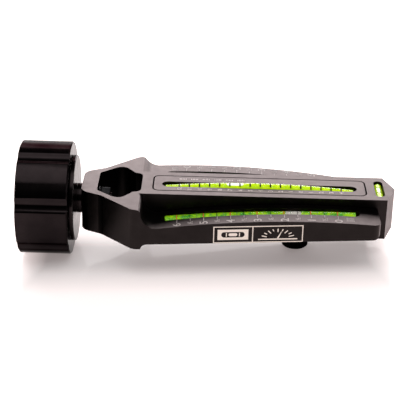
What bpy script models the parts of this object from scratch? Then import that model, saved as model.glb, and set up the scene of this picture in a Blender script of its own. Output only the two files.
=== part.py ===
"""Camber and castor gauge with a magnet adaptor.

A machined body carries two curved camber vials on its wings, a rocking castor vial in its spine and a small
cross level at its end. It swivels on the spindle of a fluted magnet adaptor. A knob under the spine tilts the
castor carrier. Metres, +Z up, +X from the magnet towards the pointed end.
"""
import math

import bmesh
import bpy
from mathutils import Euler, Matrix, Vector

for old in list(bpy.data.objects):
    bpy.data.objects.remove(old, do_unlink=True)

# General fits
SEAT_GAP = 0.0003
RUNNING_GAP = 0.00015
OVERRUN = 0.002
WELD_DISTANCE = 0.000001

# Gauge body, x from its left face, y from the spine's centre, z from its underside
BODY_HEIGHT = 0.025
BODY_LENGTH = 0.1847
POINT_DEPTH = 0.0058
SPINE_HALF_WIDTH = 0.0159
WING_HALF_WIDTH = 0.0384
WING_END_X = 0.1735
WING_CORNER = 0.0045
HEAD_FACE_HALF_WIDTH = 0.0139
HEAD_FACE_CORNER = 0.008
HEAD_WAIST_X = 0.0123
HEAD_WAIST_HALF_WIDTH = 0.0199
HEAD_WAIST_BLEND = 0.012
HEAD_SHOULDER_X = 0.0314
HEAD_SHOULDER_CORNER = 0.005
HEAD_BACK_X = 0.0363
HEAD_BACK_ROUND = 0.003
HEAD_BACK_COVE = 0.009

# Window through the head
WINDOW_LEFT_X = 0.0093
WINDOW_LEFT_HALF_WIDTH = 0.0125
WINDOW_LEFT_CORNER = 0.003
WINDOW_PEAK_X = 0.0228
WINDOW_PEAK_HALF_WIDTH = 0.0245
WINDOW_PEAK_CORNER = 0.005
WINDOW_NECK_X = 0.0306
WINDOW_RIGHT_X = 0.0351
WINDOW_RIGHT_HALF_WIDTH = 0.0136
WINDOW_NECK_CORNER = 0.0015
WINDOW_RIGHT_CORNER = 0.004

# Wings, the far one is the near one turned end for end about the scale's middle
SCALE_MIDDLE_X = 0.105
LEDGE_RADIUS = 0.56
LEDGE_DEPTH = 0.0045
LEDGE_TOP_Z = BODY_HEIGHT - LEDGE_DEPTH
LEDGE_APEX_OFFSET = 0.03
WING_THICK_HEIGHT = 0.0172
WING_THIN_HEIGHT = 0.0107
UNDERSIDE_THICK_Z = LEDGE_TOP_Z - WING_THICK_HEIGHT
UNDERSIDE_THIN_Z = LEDGE_TOP_Z - WING_THIN_HEIGHT
UNDERSIDE_HALF_SPAN = 0.0624
UNDERSIDE_END_CORNER = 0.003
UNDERSIDE_COVE = 0.004

# Camber vials in the wing slots
CAMBER_SLOT_HALF_LENGTH = 0.0574
CAMBER_SLOT_WIDTH = 0.0082
CAMBER_SLOT_Y = 0.0246
CAMBER_TUBE_RADIUS = 0.0037
CAMBER_TUBE_BORE = 0.0027
CAMBER_TUBE_BEND = 0.888
CAMBER_TUBE_APEX_OFFSET = 0.0443
CAMBER_TUBE_BELOW_LEDGE = 0.0001
CAMBER_BUBBLE_LENGTH = 0.0087
CAMBER_BUBBLE_FROM_APEX = 0.0256
CAMBER_GRUB_FROM_SLOT_END = 0.0134
CAMBER_GRUB_FROM_MIDDLE = CAMBER_SLOT_HALF_LENGTH - CAMBER_GRUB_FROM_SLOT_END

# Castor carrier in the spine pocket
POCKET_HALF_LENGTH = 0.0632
POCKET_MIDDLE_X = 0.1046
POCKET_HALF_WIDTH = 0.011
POCKET_CORNER = 0.004
POCKET_FLOOR_Z = 0.003
CARRIER_GAP = 0.0009
CARRIER_UNDERSIDE_Z = 0.007

# Castor vial in the carrier slot
CASTOR_SLOT_END_WALL = 0.0056
CASTOR_SLOT_HALF_LENGTH = POCKET_HALF_LENGTH - CASTOR_SLOT_END_WALL
CASTOR_SLOT_WIDTH = 0.0072
CASTOR_SLOT_Y = -0.0013
CASTOR_TUBE_RADIUS = 0.0033
CASTOR_TUBE_BORE = 0.0024
CASTOR_TUBE_BEND = 0.575
CASTOR_TUBE_ABOVE_TOP = 0.0017
CASTOR_BUBBLE_LENGTH = 0.0118
CASTOR_BUBBLE_X = 0.0903
CASTOR_GRUB_FROM_SLOT_END = 0.0106
CASTOR_GRUB_FROM_MIDDLE = CASTOR_SLOT_HALF_LENGTH - CASTOR_GRUB_FROM_SLOT_END

# Cross level in the end block
LEVEL_SLOT_X = 0.1755
LEVEL_SLOT_WIDTH = 0.0054
LEVEL_SLOT_HALF_LENGTH = 0.0109
LEVEL_TUBE_RADIUS = 0.0024
LEVEL_TUBE_BORE = 0.0017
LEVEL_TUBE_BELOW_TOP = 0.0009
LEVEL_BUBBLE_LENGTH = 0.0055
LEVEL_BUBBLE_Y = 0.001

# Small vial pieces
PLUG_LENGTH = 0.0025
BUBBLE_DEPTH = 0.0013
GRUB_RADIUS = 0.0015
GRUB_SOCKET_RADIUS = 0.0008
GRUB_SOCKET_DEPTH = 0.0011
GRUB_RECESS = 0.0006

# Carrier pivot
PIVOT_FROM_POCKET_END = 0.0086
PIVOT_X = POCKET_MIDDLE_X - POCKET_HALF_LENGTH + PIVOT_FROM_POCKET_END
PIVOT_Z = 0.0095
PIVOT_PIN_RADIUS = 0.00125
PIVOT_BLOCK_HALF_LENGTH = 0.0036
PIVOT_BLOCK_HALF_WIDTH = 0.004
PIVOT_BLOCK_ABOVE_PIN = 0.002
PIVOT_NOTCH_GAP = 0.0006
BLOCK_SCREW_RADIUS = 0.0015
BLOCK_SCREW_HEAD_RADIUS = 0.0027
BLOCK_SCREW_HEAD_HEIGHT = 0.0012
BLOCK_SCREW_DEPTH = 0.0072

# Adjusting knob and screw
KNOB_X = 0.1273
KNOB_RADIUS = 0.008
KNOB_HEIGHT = 0.0115
KNOB_CHAMFER = 0.0009
KNURL_COUNT = 24
KNURL_DEPTH = 0.0006
KNOB_BORE_DEPTH = 0.009
WASHER_RADIUS = 0.0055
WASHER_THICKNESS = 0.0008
SCREW_RADIUS = 0.003
SCREW_TOP_Z = 0.0132
SCREW_BORE_TOP_Z = 0.0157
CLIP_RADIUS = 0.0044
CLIP_THICKNESS = 0.0008
NUT_RADIUS = 0.005
NUT_UNDERSIDE_Z = 0.0095
NUT_HEIGHT = 0.0045
SPRING_SEAT_RADIUS = 0.0068
SPRING_RADIUS = 0.0055
SPRING_WIRE_RADIUS = 0.0005
SPRING_TURNS = 3.25

# Magnet adaptor, x from the body's left face, round the swivel axis
SWIVEL_Z = 0.0138
HOUSING_LEFT_X = -0.0364
HOUSING_RIGHT_X = -0.0062
HOUSING_RADIUS = 0.0336
HOUSING_CHAMFER = 0.0007
FLUTE_COUNT = 7
FLUTE_RADIUS = 0.0065
FLUTE_DEPTH = 0.0016
FLUTE_TURN = math.radians(-2.7)
FLUTE_EDGE_BREAK = 0.0006
MAGNET_RECESS_RADIUS = 0.0272
MAGNET_FACE_INSET = 0.0002
MAGNET_THICKNESS = 0.0100
MAGNET_HOLE_RADIUS = 0.009
BACKPLATE_THICKNESS = 0.003
SCREW_CIRCLE_RADIUS = 0.018
SCREWS_ON_CIRCLE = 3
SHANK_RADIUS = 0.002
HEAD_RADIUS = 0.0035
HEAD_HEIGHT = 0.0028
HEAD_SOCKET_RADIUS = 0.0014
HEAD_SOCKET_DEPTH = 0.0015
MAGNET_SCREW_GRIP = 0.010
FLANGE_WALL = 0.0008

# Spindle
DISC_RADIUS = 0.0255
DISC_THICKNESS = 0.0024
DISC_EDGE_BREAK = 0.0004
NECK_RADIUS = 0.0088
SPIGOT_RADIUS = 0.008
SPIGOT_LENGTH = 0.005
JOURNAL_RADIUS = 0.005
THREAD_RADIUS = 0.004
BUSH_WALL = 0.0015
SPRING_WASHER_RADIUS = 0.0072
SPRING_WASHER_THICKNESS = 0.0007
SPRING_WASHER_DISH = 0.0004
SPINDLE_NUT_RADIUS = 0.0074
SPINDLE_NUT_HEIGHT = 0.005
THREAD_PAST_NUT = 0.0012

# Roundness of the facets
FINE_SIDES = 48
SIDES = 32
SMALL_SIDES = 16
ARC_STEPS = 6

FRAME_X = (HOUSING_LEFT_X + BODY_LENGTH) / 2
FLUTE_DISTANCE = HOUSING_RADIUS - FLUTE_DEPTH + FLUTE_RADIUS
flute_sides = HOUSING_RADIUS**2 + FLUTE_DISTANCE**2 - FLUTE_RADIUS**2
FLUTE_HALF_ANGLE = math.acos(flute_sides / (2 * HOUSING_RADIUS * FLUTE_DISTANCE))
EDGE_BREAK_ANGLE = FLUTE_EDGE_BREAK / HOUSING_RADIUS
LOWEST_Z = SWIVEL_Z - HOUSING_RADIUS * math.cos(FLUTE_HALF_ANGLE + EDGE_BREAK_ANGLE - abs(FLUTE_TURN))

gauge = bpy.data.collections.new("camber_gauge")
cutters = bpy.data.collections.new("camber_gauge_cutters")
bpy.context.scene.collection.children.link(gauge)
bpy.context.scene.collection.children.link(cutters)


def make_material(name, colour, roughness, metallic):
    """Returns a Principled material."""
    material = bpy.data.materials.new(name)
    material.use_nodes = True
    shader = material.node_tree.nodes["Principled BSDF"]
    shader.inputs["Base Color"].default_value = (*colour, 1)
    shader.inputs["Roughness"].default_value = roughness
    shader.inputs["Metallic"].default_value = metallic
    material.diffuse_color = (*colour, 1)
    return material


BLACK_ANODISED = make_material("black_anodised", (0.018, 0.017, 0.018), 0.38, 0.6)
BLACK_STEEL = make_material("black_steel", (0.02, 0.02, 0.02), 0.45, 0.9)
BRIGHT_STEEL = make_material("bright_steel", (0.55, 0.55, 0.56), 0.3, 1.0)
SPRING_STEEL = make_material("spring_steel", (0.4, 0.4, 0.42), 0.35, 1.0)
BRASS = make_material("brass", (0.7, 0.5, 0.2), 0.3, 1.0)
NICKEL_MAGNET = make_material("nickel_magnet", (0.6, 0.59, 0.57), 0.25, 1.0)
CLEAR_ACRYLIC = make_material("clear_acrylic", (0.85, 0.95, 0.8), 0.08, 0.0)
GREEN_LIQUID = make_material("green_liquid", (0.35, 0.75, 0.05), 0.1, 0.0)
YELLOW_LIQUID = make_material("yellow_liquid", (0.6, 0.9, 0.02), 0.1, 0.0)


def make_empty(name, location, parent=None):
    """Returns an empty that stands on a joint axis or at the frame's origin."""
    empty = bpy.data.objects.new(name, None)
    gauge.objects.link(empty)
    empty.parent = parent
    empty.location = location
    return empty


# Places on the body are measured from its left face and underside; this empty brings them to the frame,
# whose origin is the middle of the whole gauge, level with its lowest point
body_frame = make_empty("body_frame", (-FRAME_X, 0, -LOWEST_Z))
swivel_axis = make_empty("swivel_axis", (0, 0, SWIVEL_Z), body_frame)
carrier_pivot = make_empty("carrier_pivot", (PIVOT_X, 0, PIVOT_Z), body_frame)
knob_axis = make_empty("knob_axis", (KNOB_X, 0, 0), body_frame)


def add(name, mesh, material, parent=body_frame, matrix=None):
    """Links a mesh as one sub-part, its place given in body measures whatever its parent."""
    piece = bpy.data.objects.new(name, mesh)
    gauge.objects.link(piece)
    piece.data.materials.append(material)
    finish_place(piece, parent, matrix)
    return piece


def add_cutter(name, mesh, matrix=None):
    """Links a mesh as a cutter, shown as wire and left out of renders."""
    cutter = bpy.data.objects.new(name, mesh)
    cutters.objects.link(cutter)
    cutter.hide_render = True
    cutter.display_type = "WIRE"
    finish_place(cutter, body_frame, matrix)
    return cutter


def finish_place(piece, parent, matrix):
    """Parents a piece and keeps its place in body measures."""
    piece.parent = parent
    offset = Vector() if parent is body_frame else parent.location
    piece.matrix_local = Matrix.Translation(-offset) @ (matrix or Matrix())


def along_x(x=0, y=0, z=0):
    """Place of a piece whose own Z axis lies along the body's X."""
    return Matrix.Translation((x, y, z)) @ Euler((0, math.pi / 2, 0)).to_matrix().to_4x4()


def along_y(x=0, y=0, z=0):
    """Place of a flat outline drawn in x and z and extruded along the body's Y."""
    return Matrix.Translation((x, y, z)) @ Euler((math.pi / 2, 0, 0)).to_matrix().to_4x4()


def at(x=0, y=0, z=0):
    """Place without a turn."""
    return Matrix.Translation((x, y, z))


def arc(centre_x, centre_y, radius, start, end, steps=ARC_STEPS):
    """Points of an arc between two angles."""
    points = []
    for step in range(steps + 1):
        angle = start + (end - start) * step / steps
        points.append((centre_x + radius * math.cos(angle), centre_y + radius * math.sin(angle)))
    return points


def rounded(corners, steps=ARC_STEPS):
    """Outline through corners (x, y, radius), each with a radius replaced by its tangent arc."""
    points = []
    for number, (x, y, radius) in enumerate(corners):
        here = Vector((x, y))
        if not radius:
            points.append((x, y))
            continue
        before = Vector(corners[number - 1][:2])
        after = Vector(corners[(number + 1) % len(corners)][:2])
        towards_before = (before - here).normalized()
        towards_after = (after - here).normalized()
        half_angle = towards_before.angle(towards_after) / 2
        bisector = (towards_before + towards_after).normalized()
        centre = here + bisector * radius / math.sin(half_angle)
        reach = radius / math.tan(half_angle)
        first = here + towards_before * reach - centre
        last = here + towards_after * reach - centre
        start = math.atan2(first.y, first.x)
        turn = first.angle_signed(last)
        points += arc(centre.x, centre.y, radius, start, start - turn, steps)
    return points


def mesh_of_curve(curve_object):
    """Turns a curve into a welded mesh and removes the curve."""
    bpy.context.view_layer.update()
    graph = bpy.context.evaluated_depsgraph_get()
    mesh = bpy.data.meshes.new_from_object(curve_object.evaluated_get(graph))
    bpy.data.objects.remove(curve_object, do_unlink=True)
    shape = bmesh.new()
    shape.from_mesh(mesh)
    bmesh.ops.remove_doubles(shape, verts=shape.verts, dist=WELD_DISTANCE)
    bmesh.ops.recalc_face_normals(shape, faces=shape.faces)
    shape.to_mesh(mesh)
    shape.free()
    return mesh


def new_curve(points, dimensions, closed):
    """Returns a poly curve through the points."""
    curve = bpy.data.curves.new("outline", "CURVE")
    curve.dimensions = dimensions
    spline = curve.splines.new("POLY")
    spline.points.add(len(points) - 1)
    for spot, point in zip(spline.points, points):
        spot.co = (*point, 0, 1) if len(point) == 2 else (*point, 1)
    spline.use_cyclic_u = closed
    holder = bpy.data.objects.new("outline", curve)
    bpy.context.scene.collection.objects.link(holder)
    return holder


def prism_mesh(outline, low, high):
    """Mesh of a flat outline extruded from low to high along its own Z."""
    holder = new_curve(outline, "2D", True)
    holder.data.fill_mode = "BOTH"
    holder.data.extrude = (high - low) / 2
    mesh = mesh_of_curve(holder)
    mesh.transform(Matrix.Translation((0, 0, (high + low) / 2)))
    return mesh


def rod_mesh(path, radius, sides=12):
    """Mesh of a round rod along a path, its ends filled."""
    holder = new_curve(path, "3D", False)
    holder.data.bevel_depth = radius
    holder.data.bevel_resolution = sides // 2 - 2
    holder.data.use_fill_caps = True
    return mesh_of_curve(holder)


def cylinder_mesh(radius, low, high, sides=SIDES, top_radius=None):
    """Mesh of a cylinder or cone from low to high along its own Z."""
    shape = bmesh.new()
    bmesh.ops.create_cone(
        shape,
        cap_ends=True,
        segments=sides,
        radius1=radius,
        radius2=radius if top_radius is None else top_radius,
        depth=high - low,
        matrix=Matrix.Translation((0, 0, (high + low) / 2)),
    )
    mesh = bpy.data.meshes.new("cylinder")
    shape.to_mesh(mesh)
    shape.free()
    return mesh


def profile_mesh(profile, closed):
    """Mesh of the edges of a turned piece's profile, given as (radius, height)."""
    mesh = bpy.data.meshes.new("profile")
    points = [(radius, 0, height) for radius, height in profile]
    edges = [(number, number + 1) for number in range(len(points) - 1)]
    if closed:
        edges.append((len(points) - 1, 0))
    mesh.from_pydata(points, edges, [])
    return mesh


def turn(piece, sides):
    """Sweeps a profile round its own Z."""
    screw = piece.modifiers.new("turned", "SCREW")
    screw.axis = "Z"
    screw.angle = math.tau
    screw.steps = sides
    screw.render_steps = sides
    screw.use_merge_vertices = True
    screw.merge_threshold = WELD_DISTANCE
    return piece


def combine(piece, operation, others):
    """Adds one exact Boolean for each other object."""
    for other in others:
        boolean = piece.modifiers.new(other.name, "BOOLEAN")
        boolean.operation = operation
        boolean.solver = "EXACT"
        boolean.object = other
    return piece


def cut(piece, *others):
    """Cuts the other objects from a piece."""
    return combine(piece, "DIFFERENCE", others)


def drill(name, radius, low, high, place, sides=SMALL_SIDES):
    """Cutter for a round hole from low to high along the place's Z."""
    return add_cutter(name, cylinder_mesh(radius, low, high, sides), place)


def smooth(*pieces):
    """Shades round faces smooth and keeps edges sharp."""
    for piece in pieces:
        piece.data.shade_smooth()
        piece.data.set_sharp_from_angle(angle=math.radians(35))


def ledge_height(x, apex_x):
    """Height of a wing's curved top at x."""
    return LEDGE_TOP_Z - LEDGE_RADIUS + math.sqrt(LEDGE_RADIUS**2 - (x - apex_x) ** 2)


def bend_path(middle_x, apex_x, top_z, y, radius, bend, half_length, steps=10, overrun=0):
    """Centre line of a bent tube whose highest point would be at apex_x."""
    centre_z = top_z - radius
    path = []
    for step in range(steps + 1):
        x = middle_x + (half_length + overrun) * (2 * step / steps - 1)
        path.append((x, y, centre_z - bend + math.sqrt(bend**2 - (x - apex_x) ** 2)))
    return path


def bend_height(x, apex_x, top_z, radius, bend):
    """Height of a bent tube's centre line at x."""
    return top_z - radius - bend + math.sqrt(bend**2 - (x - apex_x) ** 2)


def bend_slope(x, apex_x, bend):
    """Angle of a bent tube's centre line at x, positive where it rises towards +X."""
    return -math.asin((x - apex_x) / bend)


def body_outline():
    """Plan of the gauge body."""
    half = [
        (0, HEAD_FACE_HALF_WIDTH, HEAD_FACE_CORNER),
        (HEAD_WAIST_X, HEAD_WAIST_HALF_WIDTH, HEAD_WAIST_BLEND),
        (HEAD_SHOULDER_X, WING_HALF_WIDTH, HEAD_SHOULDER_CORNER),
        (WING_END_X, WING_HALF_WIDTH, WING_CORNER),
        (WING_END_X, SPINE_HALF_WIDTH, 0),
        (BODY_LENGTH - POINT_DEPTH, SPINE_HALF_WIDTH, 0),
        (BODY_LENGTH, 0, 0),
    ]
    other = [(x, -y, radius) for x, y, radius in reversed(half) if y]
    return rounded(half + other)


def window_outline():
    """Plan of the window through the head."""
    half = [
        (WINDOW_LEFT_X, WINDOW_LEFT_HALF_WIDTH, WINDOW_LEFT_CORNER),
        (WINDOW_PEAK_X, WINDOW_PEAK_HALF_WIDTH, WINDOW_PEAK_CORNER),
        (WINDOW_NECK_X, WINDOW_RIGHT_HALF_WIDTH, WINDOW_NECK_CORNER),
        (WINDOW_RIGHT_X, WINDOW_RIGHT_HALF_WIDTH, WINDOW_RIGHT_CORNER),
    ]
    other = [(x, -y, radius) for x, y, radius in reversed(half)]
    return rounded(half + other, steps=4)


def slot_outline(half_length, width):
    """Plan of a slot with round ends, centred, along X."""
    reach = half_length - width / 2
    right = arc(reach, 0, width / 2, -math.pi / 2, math.pi / 2, 8)
    left = arc(-reach, 0, width / 2, math.pi / 2, math.pi * 3 / 2, 8)
    return right + left


def pocket_outline(half_length, half_width, corner):
    """Plan of a rectangle with rounded corners, centred."""
    return rounded([
        (-half_length, -half_width, corner),
        (half_length, -half_width, corner),
        (half_length, half_width, corner),
        (-half_length, half_width, corner),
    ])


def wing_top_outline(apex_x):
    """Side view of what is milled off above a wing."""
    high = BODY_HEIGHT + OVERRUN
    end_x = WING_END_X + OVERRUN
    round_x = HEAD_BACK_X - HEAD_BACK_ROUND
    reach = HEAD_BACK_ROUND + HEAD_BACK_COVE
    cove_foot_z = ledge_height(round_x + reach, apex_x)
    rise = max(0, reach - (BODY_HEIGHT - cove_foot_z))
    lean = math.asin(rise / reach)
    cove_end_x = round_x + reach * math.cos(lean)
    outline = [(round_x, high)]
    outline += arc(round_x, BODY_HEIGHT - HEAD_BACK_ROUND, HEAD_BACK_ROUND, math.pi / 2, lean)
    outline += arc(cove_end_x, cove_foot_z + HEAD_BACK_COVE, HEAD_BACK_COVE, math.pi + lean, math.pi * 3 / 2)[:-1]
    ledge_steps = 16
    for step in range(ledge_steps + 1):
        x = cove_end_x + (end_x - cove_end_x) * step / ledge_steps
        outline.append((x, ledge_height(x, apex_x)))
    outline.append((end_x, high))
    return outline


def wing_underside_height(x, thick_end):
    """Height of a wing's slanted underside, thickest towards the head for the near wing."""
    share = (x - SCALE_MIDDLE_X) * thick_end / UNDERSIDE_HALF_SPAN / 2
    return (UNDERSIDE_THICK_Z + UNDERSIDE_THIN_Z) / 2 + (UNDERSIDE_THIN_Z - UNDERSIDE_THICK_Z) * share


def wing_underside_outline(thick_end):
    """Side view of what is milled off below a wing."""
    end_x = WING_END_X + OVERRUN
    cove_x = HEAD_BACK_X + UNDERSIDE_COVE
    cove_z = wing_underside_height(cove_x, thick_end)
    corner_x = WING_END_X - UNDERSIDE_END_CORNER
    corner_z = wing_underside_height(corner_x, thick_end)
    outline = [(end_x, -BODY_HEIGHT), (end_x, corner_z + UNDERSIDE_END_CORNER)]
    outline += arc(corner_x, corner_z + UNDERSIDE_END_CORNER, UNDERSIDE_END_CORNER, 0, -math.pi / 2)
    cove_height = max(0, min(UNDERSIDE_COVE, cove_z))
    outline += [
        (cove_x + UNDERSIDE_COVE * math.cos(angle), cove_z - cove_height + cove_height * math.sin(angle))
        for angle in [math.pi / 2 + math.pi / 2 * step / ARC_STEPS for step in range(ARC_STEPS + 1)]
    ]
    outline.append((HEAD_BACK_X, -BODY_HEIGHT))
    return outline


def slot_cutter(name, middle_x, y, half_length, width, floor_path):
    """Cutter for a vial slot whose floor follows the vial."""
    plan = prism_mesh(slot_outline(half_length, width), 0, BODY_HEIGHT + OVERRUN)
    cutter = add_cutter(name, plan, at(middle_x, y))
    left_x, _, left_z = floor_path[0]
    right_x, _, right_z = floor_path[-1]
    side = [(x, z) for x, _, z in floor_path]
    side += [(right_x, BODY_HEIGHT + OVERRUN * 2), (left_x, BODY_HEIGHT + OVERRUN * 2)]
    side_cutter = add_cutter(name + "_side", prism_mesh(side, -width, width), along_y(0, y))
    return combine(cutter, "INTERSECT", [side_cutter])


def tube_half_length(slot_half_length, slot_width, radius):
    """Half length of a square-ended tube that reaches into a slot's round ends."""
    end_radius = slot_width / 2
    return slot_half_length - end_radius + math.sqrt(end_radius**2 - radius**2) - SEAT_GAP


def wing(side):
    """Ledge apex, tube apex, thick end and slot y of a wing: -1 is the near one and +1 the far one."""
    ledge_apex_x = SCALE_MIDDLE_X - side * LEDGE_APEX_OFFSET
    tube_apex_x = SCALE_MIDDLE_X - side * CAMBER_TUBE_APEX_OFFSET
    return ledge_apex_x, tube_apex_x, -side, side * CAMBER_SLOT_Y


def make_body():
    """Machined body with its head, spine, wings and end block."""
    body = add("gauge_body", prism_mesh(body_outline(), 0, BODY_HEIGHT), BLACK_ANODISED)
    outer = WING_HALF_WIDTH + OVERRUN
    for side, label in ((-1, "near"), (1, "far")):
        ledge_apex_x, tube_apex_x, thick_end, slot_y = wing(side)
        low_y, high_y = sorted((-side * SPINE_HALF_WIDTH, -side * outer))
        top_mesh = prism_mesh(wing_top_outline(ledge_apex_x), low_y, high_y)
        top = add_cutter(label + "_ledge_cut", top_mesh, along_y())
        under_mesh = prism_mesh(wing_underside_outline(thick_end), low_y, high_y)
        under = add_cutter(label + "_underside_cut", under_mesh, along_y())
        floor = bend_path(
            SCALE_MIDDLE_X,
            tube_apex_x,
            LEDGE_TOP_Z - CAMBER_TUBE_BELOW_LEDGE - CAMBER_TUBE_RADIUS - SEAT_GAP,
            slot_y,
            CAMBER_TUBE_RADIUS,
            CAMBER_TUBE_BEND,
            CAMBER_SLOT_HALF_LENGTH,
            overrun=OVERRUN,
        )
        slot = slot_cutter(
            label + "_slot_cut", SCALE_MIDDLE_X, slot_y, CAMBER_SLOT_HALF_LENGTH, CAMBER_SLOT_WIDTH, floor
        )
        cut(body, top, under, slot)
        for end in (-1, 1):
            x = SCALE_MIDDLE_X + end * CAMBER_GRUB_FROM_MIDDLE
            hole = drill(
                f"{label}_grub_hole_{(end + 3) // 2}",
                GRUB_RADIUS + RUNNING_GAP,
                -OVERRUN,
                bend_height(x, tube_apex_x, LEDGE_TOP_Z, CAMBER_TUBE_RADIUS, CAMBER_TUBE_BEND),
                at(x, slot_y),
            )
            cut(body, hole)
    window = add_cutter("window_cut", prism_mesh(window_outline(), -OVERRUN, BODY_HEIGHT + OVERRUN))
    pocket = add_cutter(
        "pocket_cut",
        prism_mesh(
            pocket_outline(POCKET_HALF_LENGTH, POCKET_HALF_WIDTH, POCKET_CORNER),
            POCKET_FLOOR_Z,
            BODY_HEIGHT + OVERRUN,
        ),
        at(POCKET_MIDDLE_X),
    )
    level_floor = BODY_HEIGHT - LEVEL_TUBE_BELOW_TOP - LEVEL_TUBE_RADIUS * 2 - SEAT_GAP
    level_plan = slot_outline(LEVEL_SLOT_HALF_LENGTH, LEVEL_SLOT_WIDTH)
    level_slot = add_cutter(
        "level_slot_cut",
        prism_mesh(level_plan, level_floor, BODY_HEIGHT + OVERRUN),
        at(LEVEL_SLOT_X) @ Euler((0, 0, math.pi / 2)).to_matrix().to_4x4(),
    )
    bush_hole = drill(
        "bush_hole", JOURNAL_RADIUS + RUNNING_GAP + BUSH_WALL + RUNNING_GAP, -OVERRUN,
        WINDOW_LEFT_X + OVERRUN, along_x(0, 0, SWIVEL_Z), SIDES,
    )
    screw_hole = drill(
        "screw_hole", SCREW_RADIUS + RUNNING_GAP, -OVERRUN, POCKET_FLOOR_Z + OVERRUN, at(KNOB_X)
    )
    block_hole = drill(
        "block_hole", BLOCK_SCREW_RADIUS + RUNNING_GAP, -OVERRUN, POCKET_FLOOR_Z + OVERRUN, at(PIVOT_X)
    )
    block_counterbore = drill(
        "block_counterbore", BLOCK_SCREW_HEAD_RADIUS + SEAT_GAP, -OVERRUN,
        BLOCK_SCREW_HEAD_HEIGHT + SEAT_GAP * 2, at(PIVOT_X),
    )
    cut(body, window, pocket, level_slot, bush_hole, screw_hole, block_hole, block_counterbore)
    smooth(body)


def grub_mesh(length):
    """Mesh of a grub screw standing on z = 0."""
    return cylinder_mesh(GRUB_RADIUS, 0, length, SMALL_SIDES)


def make_grub(name, x, y, low, high, parent=body_frame):
    """Grub screw with a hexagon socket in its lower end."""
    grub = add(name, grub_mesh(high - low), BLACK_STEEL, parent, at(x, y, low))
    socket = drill(name + "_socket", GRUB_SOCKET_RADIUS, -OVERRUN, GRUB_SOCKET_DEPTH, at(x, y, low), 6)
    cut(grub, socket)
    smooth(grub)


def make_bent_vial(prefix, tube_numbers, path_values, bubble_x, liquid_material, parent=body_frame):
    """Bent clear tube with its liquid, whose bubble lies under the tube's top, and a plug in each end."""
    radius, bore, half_length = tube_numbers
    middle_x, apex_x, top_z, y, bend = path_values
    outer = bend_path(middle_x, apex_x, top_z, y, radius, bend, half_length)
    tube = add(prefix + "_tube", rod_mesh(outer, radius), CLEAR_ACRYLIC, parent)
    inner = bend_path(middle_x, apex_x, top_z, y, radius, bend, half_length, overrun=OVERRUN)
    cut(tube, add_cutter(prefix + "_bore", rod_mesh(inner, bore)))
    liquid_radius = bore - RUNNING_GAP
    liquid_half_length = half_length - PLUG_LENGTH - SEAT_GAP
    filling = bend_path(middle_x, apex_x, top_z, y, radius, bend, liquid_half_length)
    liquid = add(prefix + "_liquid", rod_mesh(filling, liquid_radius), liquid_material, parent)
    length = CASTOR_BUBBLE_LENGTH if parent is carrier_pivot else CAMBER_BUBBLE_LENGTH
    bubble_place = at(bubble_x, y, bend_height(bubble_x, apex_x, top_z, radius, bend) + liquid_radius)
    bubble_turn = Euler((0, -bend_slope(bubble_x, apex_x, bend), 0)).to_matrix().to_4x4()
    cut(liquid, make_bubble_cutter(prefix + "_bubble", length, bubble_place @ bubble_turn))
    for end in (-1, 1):
        near_x = middle_x + end * (half_length - PLUG_LENGTH)
        far_x = middle_x + end * half_length
        ends = [(x, y, bend_height(x, apex_x, top_z, radius, bend)) for x in sorted((near_x, far_x))]
        plug = add(f"{prefix}_plug_{(end + 3) // 2}", rod_mesh(ends, liquid_radius), liquid_material, parent)
        smooth(plug)
    smooth(tube, liquid)


def make_bubble_cutter(name, length, place):
    """Flattened egg that leaves the bubble's hollow in a liquid."""
    shape = bmesh.new()
    bmesh.ops.create_uvsphere(shape, u_segments=12, v_segments=8, radius=1)
    bmesh.ops.rotate(shape, verts=shape.verts, matrix=Matrix.Rotation(math.pi / 2, 3, "Y"))
    bmesh.ops.scale(shape, verts=shape.verts, vec=(length / 2, BUBBLE_DEPTH * 2, BUBBLE_DEPTH))
    mesh = bpy.data.meshes.new(name)
    shape.to_mesh(mesh)
    shape.free()
    return add_cutter(name, mesh, place)


def make_camber_vials():
    """The two camber vials in the wings and the grub screws below them."""
    for side, label in ((-1, "near"), (1, "far")):
        _, tube_apex_x, thick_end, slot_y = wing(side)
        top_z = LEDGE_TOP_Z - CAMBER_TUBE_BELOW_LEDGE
        wanted_x = tube_apex_x - CAMBER_BUBBLE_FROM_APEX
        half_length = tube_half_length(CAMBER_SLOT_HALF_LENGTH, CAMBER_SLOT_WIDTH, CAMBER_TUBE_RADIUS)
        first_x = SCALE_MIDDLE_X - half_length + PLUG_LENGTH + CAMBER_BUBBLE_LENGTH / 2 + GRUB_RADIUS
        make_bent_vial(
            label + "_vial",
            (CAMBER_TUBE_RADIUS, CAMBER_TUBE_BORE, half_length),
            (SCALE_MIDDLE_X, tube_apex_x, top_z, slot_y, CAMBER_TUBE_BEND),
            max(wanted_x, first_x),
            GREEN_LIQUID,
        )
        for end in (-1, 1):
            x = SCALE_MIDDLE_X + end * CAMBER_GRUB_FROM_MIDDLE
            low = wing_underside_height(x, thick_end) + GRUB_RECESS
            centre_z = bend_height(x, tube_apex_x, top_z, CAMBER_TUBE_RADIUS, CAMBER_TUBE_BEND)
            high = centre_z - CAMBER_TUBE_RADIUS - SEAT_GAP
            make_grub(f"{label}_vial_grub_{(end + 3) // 2}", x, slot_y, low, high)


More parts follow.
